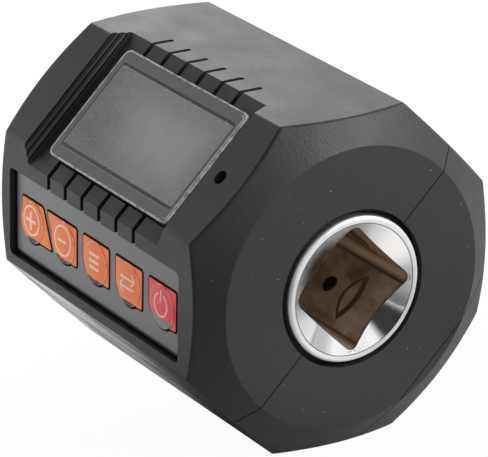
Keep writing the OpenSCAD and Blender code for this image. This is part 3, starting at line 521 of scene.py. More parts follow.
def printed_film(name, colour, roughness=0.32, shade_borders=None):
    """The printed film of the keypad: even, with a faint orange-peel skin, and painted shade, black, along
    two edges.
    """
    finish = Finish(name, {"IOR": 1.5, "Coat Roughness": 0.2})
    peel = finish.noise(0.7)
    fine = finish.noise(0.12)
    cloud = finish.noise(6)
    tone = finish.layered(
        colour,
        (cloud * 0.5, scaled(colour, 0.88)),
        (fine.rise(0.5, 0.8) * 0.2, scaled(colour, 1.25)))
    if shade_borders:
        # Painted shade, black, along the two edges next to the recess's shaded walls
        y, z = finish.coordinates()[1:]
        edge = (shade_borders[0] - z).most(y - shade_borders[1])
        tone = finish.blend(edge.rise_mm(-0.04, 0.04), tone, BLACK)
    return finish.feed(
        base_color=tone,
        roughness=roughness + peel.swing(0.08),
        coat_weight=0.2 + cloud.swing(0.1),
        normal=finish.bump(peel + fine * 0.3, 0.008))


def rubber(name, colour, roughness=0.7):
    finish = Finish(name, {"IOR": 1.45})
    fine = finish.noise(0.1, 3)
    return finish.feed(
        base_color=finish.blend(fine, colour, scaled(colour, 1.5, 0.004)),
        roughness=roughness + fine.swing(0.15),
        normal=finish.bump(fine, 0.01))


def cell_sleeve(name, band, cap, low, high):
    """A cell's printed sleeve, with a paler band towards its button."""
    finish = Finish(name, {"IOR": 1.5, "Coat Roughness": 0.15, "Coat Weight": 0.5})
    y = finish.coordinates()[1]
    capped = y.fall(low + (high - low) * 0.3, low + (high - low) * 0.31)
    metal = (y - low).fall_mm(1.1, 1.2).most((y - high).rise_mm(-0.4, -0.3))
    return finish.feed(
        base_color=finish.layered(band, (capped, cap), (metal, (0.72, 0.72, 0.73))),
        metallic=metal,
        roughness=0.3 + finish.noise(3).swing(0.08),
        normal=finish.bump(finish.noise(0.2), 0.004))


def circuit_board(name, laminate, copper):
    """Green laminate over a faint maze of tracks."""
    finish = Finish(name, {"IOR": 1.5})
    tracks = finish.add("ShaderNodeTexBrick", None, {"Vector": finish.point, "Scale": 300}, "Fac")
    cloud = finish.noise(2)
    return finish.feed(
        base_color=finish.blend(tracks * 0.5 + cloud * 0.2, laminate, copper),
        roughness=0.38 + cloud.swing(0.1),
        normal=finish.bump(tracks, 0.01))



# Modelling

def new_piece(name, bm, finish, body, slot, nodes, smooth=30):
    """Makes an object of a bmesh, with its finish, on its body and in place of its nodes."""
    mesh = bpy.data.meshes.new(name)
    bmesh.ops.recalc_face_normals(bm, faces=bm.faces)
    for face in bm.faces:
        face.smooth = True
    for edge in bm.edges:
        edge.smooth = edge.is_manifold and edge.calc_face_angle() < math.radians(smooth)
    bm.to_mesh(mesh)
    bm.free()
    mesh.materials.append(finish)
    piece = bpy.data.objects.new(name, mesh)
    bpy.context.scene.collection.objects.link(piece)
    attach(piece, body)
    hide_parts(*nodes)


def of_kind(items, kind):
    return [item for item in items if isinstance(item, getattr(bmesh.types, kind))]


def faced_out(bm):
    bmesh.ops.recalc_face_normals(bm, faces=bm.faces)
    return bm


def merged_copy(node):
    """A node's mesh as a bmesh, its triangles joined and its flat faces whole."""
    bm = bmesh.new()
    bm.from_mesh(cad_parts[node].data)
    bmesh.ops.remove_doubles(bm, verts=bm.verts, dist=0.002 * MM)
    bmesh.ops.dissolve_limit(bm, angle_limit=math.radians(0.4), verts=bm.verts, edges=bm.edges,
                             delimit={"NORMAL"})
    return bm


def rounded(bm, geom, radius, segments, affect):
    bmesh.ops.bevel(bm, geom=geom, offset=radius, offset_type="OFFSET", segments=segments, profile=0.5,
                    affect=affect, clamp_overlap=False, material=-1)


def round_top(bm, radius, level):
    """Rounds the sharp outer edges above a level."""
    edges = [edge for edge in bm.edges
             if edge.is_manifold and edge.calc_face_angle_signed() > math.radians(60)
             and all(vert.co.z > level for vert in edge.verts)]
    rounded(bm, edges, radius, 2, "EDGES")


def loose_object(name, bm):
    """An object that only helps to shape another, or the floor."""
    mesh = bpy.data.meshes.new(name)
    bm.to_mesh(mesh)
    bm.free()
    helper = bpy.data.objects.new(name, mesh)
    bpy.context.scene.collection.objects.link(helper)
    return helper


def combined(bm, form, operation):
    """A bmesh after a Boolean with a form, which is kept."""
    body = loose_object("body", bm)
    cut = body.modifiers.new("combined", "BOOLEAN")
    cut.operation = operation
    cut.solver = "EXACT"
    cut.object = form
    shaped = bmesh.new()
    shaped.from_mesh(body.evaluated_get(bpy.context.evaluated_depsgraph_get()).to_mesh())
    bpy.data.objects.remove(body)
    return shaped


def joined(bm, other, operation="UNION"):
    """A bmesh after a Boolean with another, which is used up."""
    form = loose_object("form", other)
    shaped = combined(bm, form, operation)
    bpy.data.objects.remove(form)
    return shaped


def prism(corners, radii, low, high):
    """An upright block over four corners, given by their signs, each rounded by its own radius."""
    bm = bmesh.new()
    bmesh.ops.create_grid(bm, x_segments=1, y_segments=1, size=1)
    for vert in bm.verts:
        sign = (round(vert.co.x), round(vert.co.y))
        vert.co = (*corners[sign], low)
    for sign, radius in radii.items():
        corner = [vert for vert in bm.verts if (vert.co.xy - Vector(corners[sign])).length < 1e-7]
        rounded(bm, corner, radius, 4 + round(radius / MM * 4), "VERTICES")
    for vert in of_kind(bmesh.ops.extrude_face_region(bm, geom=bm.faces[:])["geom"], "BMVert"):
        vert.co.z = high
    return faced_out(bm)


def turned(profile, middle, steps=64):
    """A solid turned about an upright axis from a profile of radii and heights."""
    bm = bmesh.new()
    verts = [bm.verts.new((middle[0] + radius, middle[1], height)) for radius, height in profile]
    edges = [bm.edges.new(pair) for pair in zip(verts, verts[1:])]
    bmesh.ops.spin(bm, geom=verts + edges, cent=(*middle, 0), axis=(0, 0, 1), angle=TURN, steps=steps,
                   use_merge=True)
    bmesh.ops.remove_doubles(bm, verts=bm.verts, dist=0.0005 * MM)
    return faced_out(bm)


def soft_least(first, second, blend):
    """The lesser of two lengths, rounded where they are alike."""
    near = max(blend - abs(first - second), 0) / blend
    return min(first, second) - near * near * blend / 4


def repaint(finish, *nodes):
    """Gives kept nodes their finish."""
    for node in nodes:
        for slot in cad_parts[node].material_slots:
            slot.material = finish


# Settings

def a_colour(name, description, *value):
    return FloatVectorProperty(name=name, description=description, subtype="COLOR", default=value,
                               min=0, max=1)


def a_length(name, description, millimetres):
    return FloatProperty(name=name, description=description, unit="LENGTH", default=millimetres * MM,
                         precision=5)


def a_glow(name, description, value):
    return FloatProperty(name=name, description=description, default=value, min=0, max=20)


class HousingSettings(bpy.types.PropertyGroup):
    """Finish of the moulded housing."""
    plastic: a_colour("Plastic", "Colour of the moulded housing", 0.025, 0.025, 0.026)
    facet: a_length("Facets", "Distance from the drive axis to the facets", 23)
    disc_diameter: a_length("Disc", "Diameter of the flat disc on each end", 39.18)
    cone_depth: a_length("Cone", "Rise of each coned end", 3.6)
    edge_radius: a_length("Long edges", "Rounding of the eight long edges", 0.6)
    cone_radius: a_length("Coned edges", "Rounding where the cones meet the facets", 0.4)
    disc_radius: a_length("Disc edges", "Rounding of the discs' edges", 0.4)


class WindowSettings(bpy.types.PropertyGroup):
    """Finish of the display window."""
    border: a_colour("Border", "Colour of the window's plain border", 0.19, 0.192, 0.196)
    screen: a_colour("Screen", "Colour of the field over the display", 0.50, 0.52, 0.54)
    # Also the colour of the painted highlight along the window block's edges
    scuff_and_highlight: a_colour("Scuffs", "Colour of the scuffed edges", 0.92, 0.92, 0.93)
    # The colour of the painted shadow round the display
    line: a_colour("Line", "Colour of the line round the display", 0.012, 0.012, 0.013)
    chamfer: a_length("Chamfer", "Width of the chamfer round the top", 0.35)
    field_width: a_length("Field width", "Width of the field over the display", 13.7)
    field_length: a_length("Field length", "Length of that field along the axis", 28.1)
    field_middle: a_length("Field middle", "Place of its middle along the axis", 25.75)


class KeypadSettings(bpy.types.PropertyGroup):
    """Finish of the keypad."""
    film: a_colour("Film", "Colour of the keypad's film", 0.225, 0.228, 0.232)
    orange: a_colour("Keys", "Colour of the four keys", 0.96, 0.185, 0.012)
    red: a_colour("Power key", "Colour of the power key", 0.86, 0.03, 0.055)
    ink: a_colour("Ink", "Colour of the printed signs", 0.98, 0.84, 0.76)
    # The width of the painted shade along two of the film's edges
    shade_border: a_length("Black border", "Width of the black along the film's edges", 0.45)
    first_key: a_length("First key", "Place of the power key along the axis", 11.57)
    key_pitch: a_length("Key pitch", "Distance between the keys' middles", 8.55)
    key_level: a_length("Key level", "Height of the keys' middles", -1.65)
    key_height: a_length("Key height", "Height of a key", 5.5)
    key_width: a_length("Key width", "Width of a key along the axis", 6.7)
    key_gap: a_length("Key gap", "Gap between a key and the film", 0.3)
    key_proud: a_length("Proud", "How far the keys stand above the film", 0.12)
    key_edge: a_length("Key edge", "Rounding of the keys' upper edges", 0.06)
    corner_radius: a_length("Corners", "Rounding of a key's other corners", 0.3)
    round_corner: a_length("Round corner", "Rounding of a key's lower rear corner", 2.5)
    dome_diameter: a_length("Dome", "Diameter of a key's dome", 6.1)
    dome_drop: a_length("Dome drop", "How far the domes are below the keys' middles", 0.25)
    slant: a_length("Slant", "Lean of the side that plus and minus share", 2.3)
    slant_gap: a_length("Slant gap", "Gap between plus and minus", 1.2)
    slant_shift: a_length("Slant shift", "How far that gap is towards the front", 0.3)
    plus_inset: a_length("Plus inset", "How much narrower the plus key is at the rear", 0.5)
    film_corner: a_length("Film corners", "Rounding of the film's corners", 0.9)


class ShaftSettings(bpy.types.PropertyGroup):
    """Finish of the drive shaft."""
    chrome: a_colour("Chrome", "Colour of the plated surfaces", 0.86, 0.87, 0.88)
    bronze: a_colour("Socket walls", "Colour of the socket's dull walls", 0.50, 0.405, 0.315)
    fill_diameter: a_length("Fill", "Diameter of the metal that the socket is cut in", 18.4)
    socket_depth: a_length("Socket depth", "Depth of the square socket", 16.2)
    socket_square: a_length("Socket", "Width of the square socket", 12.9)
    socket_corner: a_length("Socket corners", "Rounding of the socket's corners", 1.25)
    socket_end: a_length("Dull end", "Where the dull finish ends along the axis", 20)
    mouth_diameter: a_length("Mouth", "Diameter of the countersunk mouth", 18.36)
    mouth_floor: a_length("Mouth floor", "Diameter of the mouth at its floor", 10.9)
    mouth_depth: a_length("Mouth depth", "Depth of the countersunk mouth", 1.75)
    groove_start: a_length("Groove start", "Front edge of the ball groove", 5.8)
    groove_bottom: a_length("Groove bottom", "Deepest line of the ball groove", 7.0)
    groove_end: a_length("Groove end", "Rear edge of the ball groove", 9.4)
    groove_depth: a_length("Groove depth", "Depth of the ball groove", 1.05)
    hole_diameter: a_length("Release hole", "Diameter of the hole in the socket's wall", 2.4)
    hole_place: a_length("Hole place", "Place of that hole along the axis", 12.5)
    plug_start: a_length("Plug", "Where the plug's darker finish starts along the axis", 45)


class StageSettings(bpy.types.PropertyGroup):
    """Camera and light."""
    lens: FloatProperty(name="Lens", description="Focal length of the camera", subtype="DISTANCE_CAMERA",
                        default=268.7, min=50, max=500)
    floor: a_colour("Floor", "Colour of the floor", 0.86, 0.86, 0.86)
    whiteness: FloatProperty(name="White floor", subtype="FACTOR", default=0.97, min=0, max=1,
                             description="How far the camera sees the floor as plain white")
    floor_glow: a_glow("Floor glow", "How brightly the floor itself lights the object", 0.6)
    front_glow: a_glow("Front softbox", "Brightness of the softbox at the front right", 5.6)
    front_wall: a_glow("Front wall", "Brightness of the wall behind the camera", 0.6)
    socket_watts: a_glow("Socket lamp", "Power of the narrow lamp that lights the socket", 2.5)
    rear_glow: a_glow("Rear softbox", "Brightness of the softbox behind", 2.6)
    low_glow: a_glow("Low softbox", "Brightness of the low softbox at the rear left", 3.2)
    top_glow: a_glow("Overhead softbox", "Brightness of the softbox overhead", 0.15)
    bright_side: a_glow("Bright side", "Brightness of the studio on the right", 1.2)
    dim_side: a_glow("Dim side", "Brightness of the studio on the left", 0.2)


class AdapterSettings(bpy.types.PropertyGroup):
    """All settings of the adapter."""
    housing: PointerProperty(type=HousingSettings)
    window: PointerProperty(type=WindowSettings)
    keypad: PointerProperty(type=KeypadSettings)
    shaft: PointerProperty(type=ShaftSettings)
    stage: PointerProperty(type=StageSettings)


def settings():
    return bpy.context.scene.torque_adapter


# Operators, one for each piece or group of like pieces

class ADAPTER_OT_housing(bpy.types.Operator):
    """Rounds and finishes the two shells and the battery cover"""
    bl_idname = "adapter.housing"
    bl_label = "Housing"

    def execute(self, context):
        look = settings().housing
        form = loose_object("rounded_form", self.rounded_form(look))
        upper = {"blackened": self.blackened, "scuffed_and_highlit": self.scuffed_and_highlit, "ribbed": self.ribbed}
        lower = {"blackened": self.seam, "scuffed_and_highlit": self.scuffed_and_highlit}
        for node, body, marks in (("display_shell", "housing", upper), ("battery_shell", "housing", lower),
                                  ("battery_cover", "cover", {})):
            finish = moulded_plastic(node + "_finish", look.plastic, roughness=0.46, dust_and_light=0.06, **marks)
            bm = combined(merged_copy(node), form, "INTERSECT")
            new_piece(node + "_moulded", bm, finish, body, "housing_plastic", [node])
        bpy.data.objects.remove(form)
        return {"FINISHED"}

    def blackened(self, finish):
        """Black painted shadow round the window, black painted shade on the walls of the keypad's recess, and
        the dark line where the shells meet.
        """
        across, y, outward = finish.on_display()
        middle, half = window_place()[2:]
        out = rounded_outline(across - middle.x, y - middle.y, half, WINDOW_CORNER)
        # Painted shadow, black, round the window's block
        window_shadow = out.fall_mm(0.22, 0.40) * outward.rise_mm(19, 19.5)
        x, y, z = finish.coordinates()
        low, high = (Vector(corner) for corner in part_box("keypad_gasket"))
        middle, half = (low + high) / 2, (high - low) / 2
        past = (abs(y - middle.y) - half.y).most(abs(z - middle.z) - half.z)
        # Painted shade, black, on the walls of the keypad's recess
        wall = past.fall_mm(0.05, 0.15) * (x - low.x).rise_mm(-1.0, -0.9)
        return window_shadow.most(wall).most(self.seam(finish))

    def seam(self, finish):
        """The dark line where the two shells meet."""
        outward = finish.on_display()[2]
        return abs(outward).fall_mm(0.06, 0.10)

    def ribbed(self, finish):
        """Painted light on the ribs of the pocket's rear wall, more of it lower down, and painted shade in
        the grooves between them.
        """
        across, y, outward = finish.on_display()
        below = settings().housing.facet - outward
        pocket = box_on("display_window", DISPLAY)[1].x - 0.3 * MM
        # The middles of the three grooves, then where the wall lies along the axis and how deep it goes
        from_groove = abs(below - 1.0 * MM).least(abs(below - 0.32 * MM)).least(abs(below - 1.68 * MM))
        wall = y.rise_mm(43, 43.2) * y.fall_mm(46.8, 46.9) * below.fall_mm(1.88, 1.98)
        wall = wall * (pocket + below - abs(across)).rise_mm(0, 0.2)
        lit_rib = from_groove.rise_mm(0.16, 0.33) * below.rise_mm(0.05, 0.15)
        # More painted light lower down the wall
        dust_and_light = below.rise_mm(0.08, 1.7) * 0.7 + 0.3
        return lit_rib * wall * dust_and_light, wall * from_groove.fall_mm(0.1, 0.2)

    def scuffed_and_highlit(self, finish):
        """Painted reflection along the facet under the keypad: pale streaks in patches, which are also
        glossier.
        """
        across, y = finish.on_display()[:2]
        on_facet = (across + settings().housing.facet).fall_mm(0.03, 0.1)
        lines = finish.noise(0.9, 5, (1, 0.03, 1)).rise(0.32, 0.58)
        patches = finish.noise(9).rise(0.3, 0.6) * 0.5 + 0.5
        return on_facet * lines * patches * y.rise_mm(9, 24) * 0.9

    def rounded_form(self, look):
        """The outer form of the whole housing, a hair inside its faces, with every edge rounded."""
        facets, samples = 8, 28
        half_turn = TURN / facets / 2
        hair = 0.01 * MM
        low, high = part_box("display_shell")
        apothem = -low[0] - hair
        edge = look.edge_radius
        centre = (apothem - edge) / math.cos(half_turn)
        rounded_to = math.atan2(edge * math.sin(half_turn), centre + edge * math.cos(half_turn))

        def facet_radius(turn):
            """Distance from the axis to the rounded octagon, at a turn about the axis."""
            from_edge = abs(turn / half_turn % 2 - 1) * half_turn
            if from_edge > rounded_to:
                return apothem / math.cos(half_turn - from_edge)
            return centre * math.cos(from_edge) + math.sqrt(edge ** 2 - (centre * math.sin(from_edge)) ** 2)

        def bunched(turn):
            """A turn moved towards the nearest long edge."""
            facet = math.floor(turn / half_turn / 2 + 0.5)
            place = turn / half_turn - 2 * facet
            return (2 * facet + math.copysign(1 - (1 - abs(place)) ** 2.5, place)) * half_turn

        bm = bmesh.new()
        outline = bmesh.ops.create_circle(bm, cap_ends=True, radius=apothem, segments=facets * samples,
                                          matrix=Matrix.Rotation(TURN / 4, 4, "X"))["verts"]
        for vert in outline:
            turn = bunched(math.atan2(vert.co.z, vert.co.x))
            vert.co = (math.cos(turn), 0, math.sin(turn))
        edges = bm.edges[:]
        rings = self.profile(look, -low[0] / math.cos(half_turn))
        places = [(radius, low[1] + hair + rise) for radius, rise in rings]
        places += [(radius, high[1] - hair - rise) for radius, rise in reversed(rings)]
        for step, (radius, y) in enumerate(places):
            if step:
                made = bmesh.ops.extrude_edge_only(bm, edges=edges)["geom"]
                outline = {*of_kind(made, "BMVert")}
                edges = [edge for edge in of_kind(made, "BMEdge") if outline >= {*edge.verts}]
            for vert in outline:
                turn = math.atan2(vert.co.z, vert.co.x)
                reach = soft_least(facet_radius(turn), radius, look.cone_radius * 0.6)
                vert.co = (reach * math.cos(turn), y, reach * math.sin(turn))
        bmesh.ops.contextual_create(bm, geom=edges)
        return faced_out(bm)

    def profile(self, look, corner):
        """Radius and rise of each ring, round the disc's edge and up the cone."""
        disc = look.disc_diameter / 2
        lean = math.atan2(look.cone_depth, corner - disc)
        run = look.disc_radius * math.tan(lean / 2)
        arc_steps, cone_steps = 5, 30
        arc = [(disc - run + look.disc_radius * math.sin(lean * i / arc_steps),
                look.disc_radius * (1 - math.cos(lean * i / arc_steps))) for i in range(arc_steps + 1)]
        step = (corner - disc) / cone_steps
        first = run * math.cos(lean)
        return arc + [(disc + first + step * i, (first + step * i) * math.tan(lean))
                      for i in range(1, cone_steps + 2)]


class ADAPTER_OT_shaft(bpy.types.Operator):
    """Finishes the drive shaft, its bushes, ball and spring, and the screws"""
    bl_idname = "adapter.shaft"
    bl_label = "Drive shaft"

    def execute(self, context):
        look = settings().shaft
        self.shaft(look, plated_shaft("shaft_finish", look))
        repaint(steel("ball_finish", (0.8, 0.81, 0.82), 0.12), "detent_ball")
        repaint(steel("spring_finish", (0.55, 0.56, 0.58), 0.3), "detent_spring", "battery_springs")
        bush = moulded_plastic("bush_finish", (0.0025, 0.0025, 0.0025), 0.32, ior=1.2)
        repaint(bush, "front_bush", "rear_bush")
        screw = steel("screw_finish", (0.1, 0.1, 0.105), 0.35)
        repaint(screw, "shell_screws", "cover_screw", "board_screws")
        return {"FINISHED"}

    def shaft(self, look, finish):
        """The shaft with its socket cut afresh: round corners, a sharp ring groove and a dimple."""
        fill, half, depth = look.fill_diameter / 2, look.socket_square / 2, look.socket_depth
        rim, floor, mouth = look.mouth_diameter / 2, look.mouth_floor / 2, look.mouth_depth
        low, middle, high = look.groove_start, look.groove_bottom, look.groove_end
        groove, inner = half + look.groove_depth, half - 0.4 * MM
        bore = look.hole_diameter / 2
        lip = 0.3 * MM
        flare = lip * (rim - floor) / mouth

        def along_axis(form):
            form.transform(AXIS)
            return faced_out(form)

        def lathed(*profile):
            return along_axis(turned([(radius, -y) for radius, y in profile], (0, 0), 96))

        bm = merged_copy("drive_shaft")
        corners = {(x, y): (x * half, y * half) for x in (-1, 1) for y in (-1, 1)}
        square = along_axis(prism(corners, dict.fromkeys(corners, look.socket_corner), -depth, lip))
        tool = joined(lathed((0, -lip), (rim + flare, -lip), (floor, mouth), (0, mouth)), square)
        tool = joined(tool, lathed((inner, low), (half, low), (groove, middle), (half, high), (inner, high),
                                   (inner, low)))
        dimple = [(0, half - MM), (bore, half - MM), (bore, half + 0.8 * MM), (0, half + 1.2 * MM)]
        hole = turned(dimple, (0, 0), 32)
        hole.transform(Matrix.Translation((0, look.hole_place, 0)) @ Matrix.Rotation(math.pi, 4, "Y"))
        hole.transform(DISPLAY)
        tool = joined(tool, faced_out(hole))
        bm = joined(bm, lathed((0, 0.2 * MM), (fill, 0.2 * MM), (fill, depth + MM), (0, depth + MM)))
        bm = joined(bm, tool, "DIFFERENCE")
        new_piece("drive_shaft_plated", bm, finish, "housing", "shaft_steel", ["drive_shaft"], 15)


class ADAPTER_OT_window(bpy.types.Operator):
    """Finishes the window and the display under it"""
    bl_idname = "adapter.window"
    bl_label = "Window"

    def execute(self, context):
        look = settings().window
        self.window(look)
        repaint(rubber("seal_finish", (0.006, 0.006, 0.006)), "window_gasket")
        repaint(moulded_plastic("frame_finish", (0.72, 0.73, 0.72), 0.4), "lcd_frame", "backlight")
        repaint(printed_film("lcd_finish", (0.24, 0.28, 0.26), 0.15), "lcd_glass")
        repaint(rubber("zebra_finish", (0.6, 0.12, 0.2)), "lcd_connector")
        return {"FINISHED"}

    def window(self, look):
        """The clear window: a flange under the shell and a block with round corners and a chamfered top."""
        low, high, middle, half = window_place()
        finish = window_plastic("window_finish", look, middle, half, high.z)
        hair, flange = 0.005 * MM, 0.8 * MM
        bm = bmesh.new()
        bmesh.ops.create_grid(bm, x_segments=1, y_segments=1, size=1)
        for vert in bm.verts:
            vert.co = Vector((middle.x + vert.co.x * half.x, middle.y + vert.co.y * half.y, low.z + hair))
        rounded(bm, bm.verts[:], WINDOW_CORNER, 10, "VERTICES")
        top = bm.faces[:]
        bmesh.ops.inset_region(bm, faces=top, thickness=-FLANGE.x, depth=0)
        for rise in (flange, high.z - low.z - flange - look.chamfer, look.chamfer - hair):
            made = bmesh.ops.extrude_face_region(bm, geom=top)["geom"]
            bmesh.ops.delete(bm, geom=top, context="FACES")
            top = of_kind(made, "BMFace")
            for vert in {vert for face in top for vert in face.verts}:
                vert.co.z += rise
        bm.transform(DISPLAY)
        new_piece("display_window_clear", bm, finish, "housing", "window_plastic", ["display_window"])


class ADAPTER_OT_keypad(bpy.types.Operator):
    """Finishes the keypad film, its keys and the domes under them"""
    bl_idname = "adapter.keypad"
    bl_label = "Keypad"

    def execute(self, context):
        look = settings().keypad
        low, high = box_on("keypad_overlay", KEYPAD)
        signs = {"power": standby_sign, "unit": swap_sign, "mode": list_sign, "minus": minus_sign,
                 "plus": plus_sign}
        for place, (name, sign) in enumerate(signs.items()):
            middle = self.middle(look, place)
            colour, slot = (look.orange, "key_orange") if place else (look.red, "key_red")
            # The colour of the key's lowest part, and the level from its middle where that starts
            low_part, from_low = ((0.03, 0.02, 0.018), -2.55) if place else ((0.36, 0.37, 0.38), -1.75)
            finish = printed_key("key_" + name + "_finish", colour, middle, sign, look, high.z, low_part,
                                 from_low * MM)
            self.key(look, name, middle, high.z, finish, slot)
        shade_borders = (low.x + look.shade_border, high.y - look.shade_border)
        self.film(look, low, high, signs, printed_film("film_finish", look.film, shade_borders=shade_borders))
        repaint(steel("dome_finish", (0.7, 0.7, 0.68), 0.25), "snap_domes")
        return {"FINISHED"}

    def middle(self, look, place):
        """The middle of a key: its level, and its place along the axis."""
        return look.key_level, look.first_key + place * look.key_pitch

    def corners(self, look, name, middle, grow=0.0):
        """A key's corners and their radii: the plus and minus keys share a slanting side."""
        half_h = look.key_height / 2 + grow
        half_w = look.key_width / 2 + grow
        slant = look.slant / look.key_height
        gap = look.slant_gap / 2 - grow * math.hypot(1, slant)
        corners = {}
        for side in (-1, 1):
            front, rear = middle[1] - half_w, middle[1] + half_w
            shared = side * half_h * slant - look.slant_shift
            if name == "plus":
                front = middle[1] - look.key_pitch / 2 + shared + gap
                rear -= look.plus_inset
            elif name == "minus":
                rear = middle[1] + look.key_pitch / 2 + shared - gap
            corners[side, -1] = (middle[0] + side * half_h, front)
            corners[side, 1] = (middle[0] + side * half_h, rear)
        radii = {sign: look.corner_radius + grow for sign in ((-1, -1), (1, -1), (1, 1))}
        return corners, {**radii, (-1, 1): look.round_corner + grow}

    def key(self, look, name, middle, face, finish, slot):
        """A key: its pad, a low dome set a little below its middle, and the flange and nub behind."""
        low, high = box_on("key_" + name, KEYPAD)
        top = face + look.key_proud
        pad = prism(*self.corners(look, name, middle), face - 1.2 * MM, top)
        round_top(pad, look.key_edge, face)
        nub, dome, steps = 2 * MM, look.dome_diameter / 2, 8
        flange, flange_low, flange_high = dome + 0.05 * MM, face - 1.6 * MM, face - 1.02 * MM
        crown_foot = top + 0.13 * MM
        crown = [(dome * 0.92 * step / steps, high.z - (high.z - crown_foot) * (step / steps) ** 2)
                 for step in range(steps, -1, -1)]
        profile = [(0, low.z), (nub, low.z), (nub, flange_low), (flange, flange_low), (flange, flange_high),
                   (dome, flange_high), (dome, top + 0.02 * MM), (dome - 0.04 * MM, top + 0.09 * MM),
                   (dome - 0.11 * MM, crown_foot), *crown]
        bm = joined(pad, turned(profile, (middle[0] - look.dome_drop, middle[1])))
        bm.transform(KEYPAD)
        new_piece("key_" + name + "_printed", bm, finish, name + "_key", slot, ["key_" + name], 20)

    def film(self, look, low, high, names, finish):
        """The film, with an opening round each key and its dome."""
        corners = {(x, y): ((low.x, high.x)[x > 0], (low.y, high.y)[y > 0])
                   for x in (-1, 1) for y in (-1, 1)}
        bm = prism(corners, dict.fromkeys(corners, look.film_corner), low.z, high.z)
        below, above = low.z - MM, high.z + MM
        reach = look.dome_diameter / 2 + look.key_gap
        for place, name in enumerate(names):
            middle = self.middle(look, place)
            opening = prism(*self.corners(look, name, middle, look.key_gap), below, above)
            bm = joined(bm, opening, "DIFFERENCE")
            hole = turned([(0, below), (reach, below), (reach, above), (0, above)],
                          (middle[0] - look.dome_drop, middle[1]))
            bm = joined(bm, hole, "DIFFERENCE")
        round_top(bm, 0.05 * MM, high.z - 0.001 * MM)
        bm.transform(KEYPAD)
        new_piece("keypad_film", bm, finish, "housing", "overlay_film", ["keypad_overlay"], 15)


class ADAPTER_OT_inside(bpy.types.Operator):
    """Finishes the boards, cells, contacts and leads"""
    bl_idname = "adapter.inside"
    bl_label = "Boards and cells"

    def execute(self, context):
        board = circuit_board("board_finish", (0.012, 0.10, 0.035), (0.10, 0.22, 0.05))
        repaint(board, "main_board", "key_board")
        repaint(moulded_plastic("chip_finish", (0.012, 0.012, 0.013), 0.45), "board_chips", "buzzer")
        ribbon = printed_film("ribbon_finish", (0.42, 0.16, 0.03), 0.3)
        repaint(ribbon, "key_ribbon", "gauge_ribbon", "strain_gauges")
        for node in ("battery_left", "battery_right"):
            low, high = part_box(node)
            sleeve = cell_sleeve(node + "_finish", (0.02, 0.035, 0.07), (0.35, 0.12, 0.03), low.y, high.y)
            repaint(sleeve, node)
        repaint(steel("contact_finish", (0.7, 0.69, 0.66), 0.25), "battery_contacts")
        repaint(rubber("lead_finish", (0.35, 0.02, 0.02), 0.45), "battery_leads")
        return {"FINISHED"}


def lamp(name, kind, place, target):
    """A lamp at a place, turned towards a target."""
    data = bpy.data.lights.new(name, kind)
    light = bpy.data.objects.new(name, data)
    light.location = place
    light.rotation_euler = (place - target).to_track_quat("Z", "Y").to_euler()
    bpy.context.scene.collection.objects.link(light)
    return data


def softbox(name, place, target, size, glow):
    """A lamp whose face shines glow times as brightly as white, at a place seen from its target."""
    data = lamp(name, "AREA", target + Vector(place), target)
    data.shape = "RECTANGLE"
    data.size, data.size_y = size
    data.energy = glow * math.pi * size[0] * size[1]


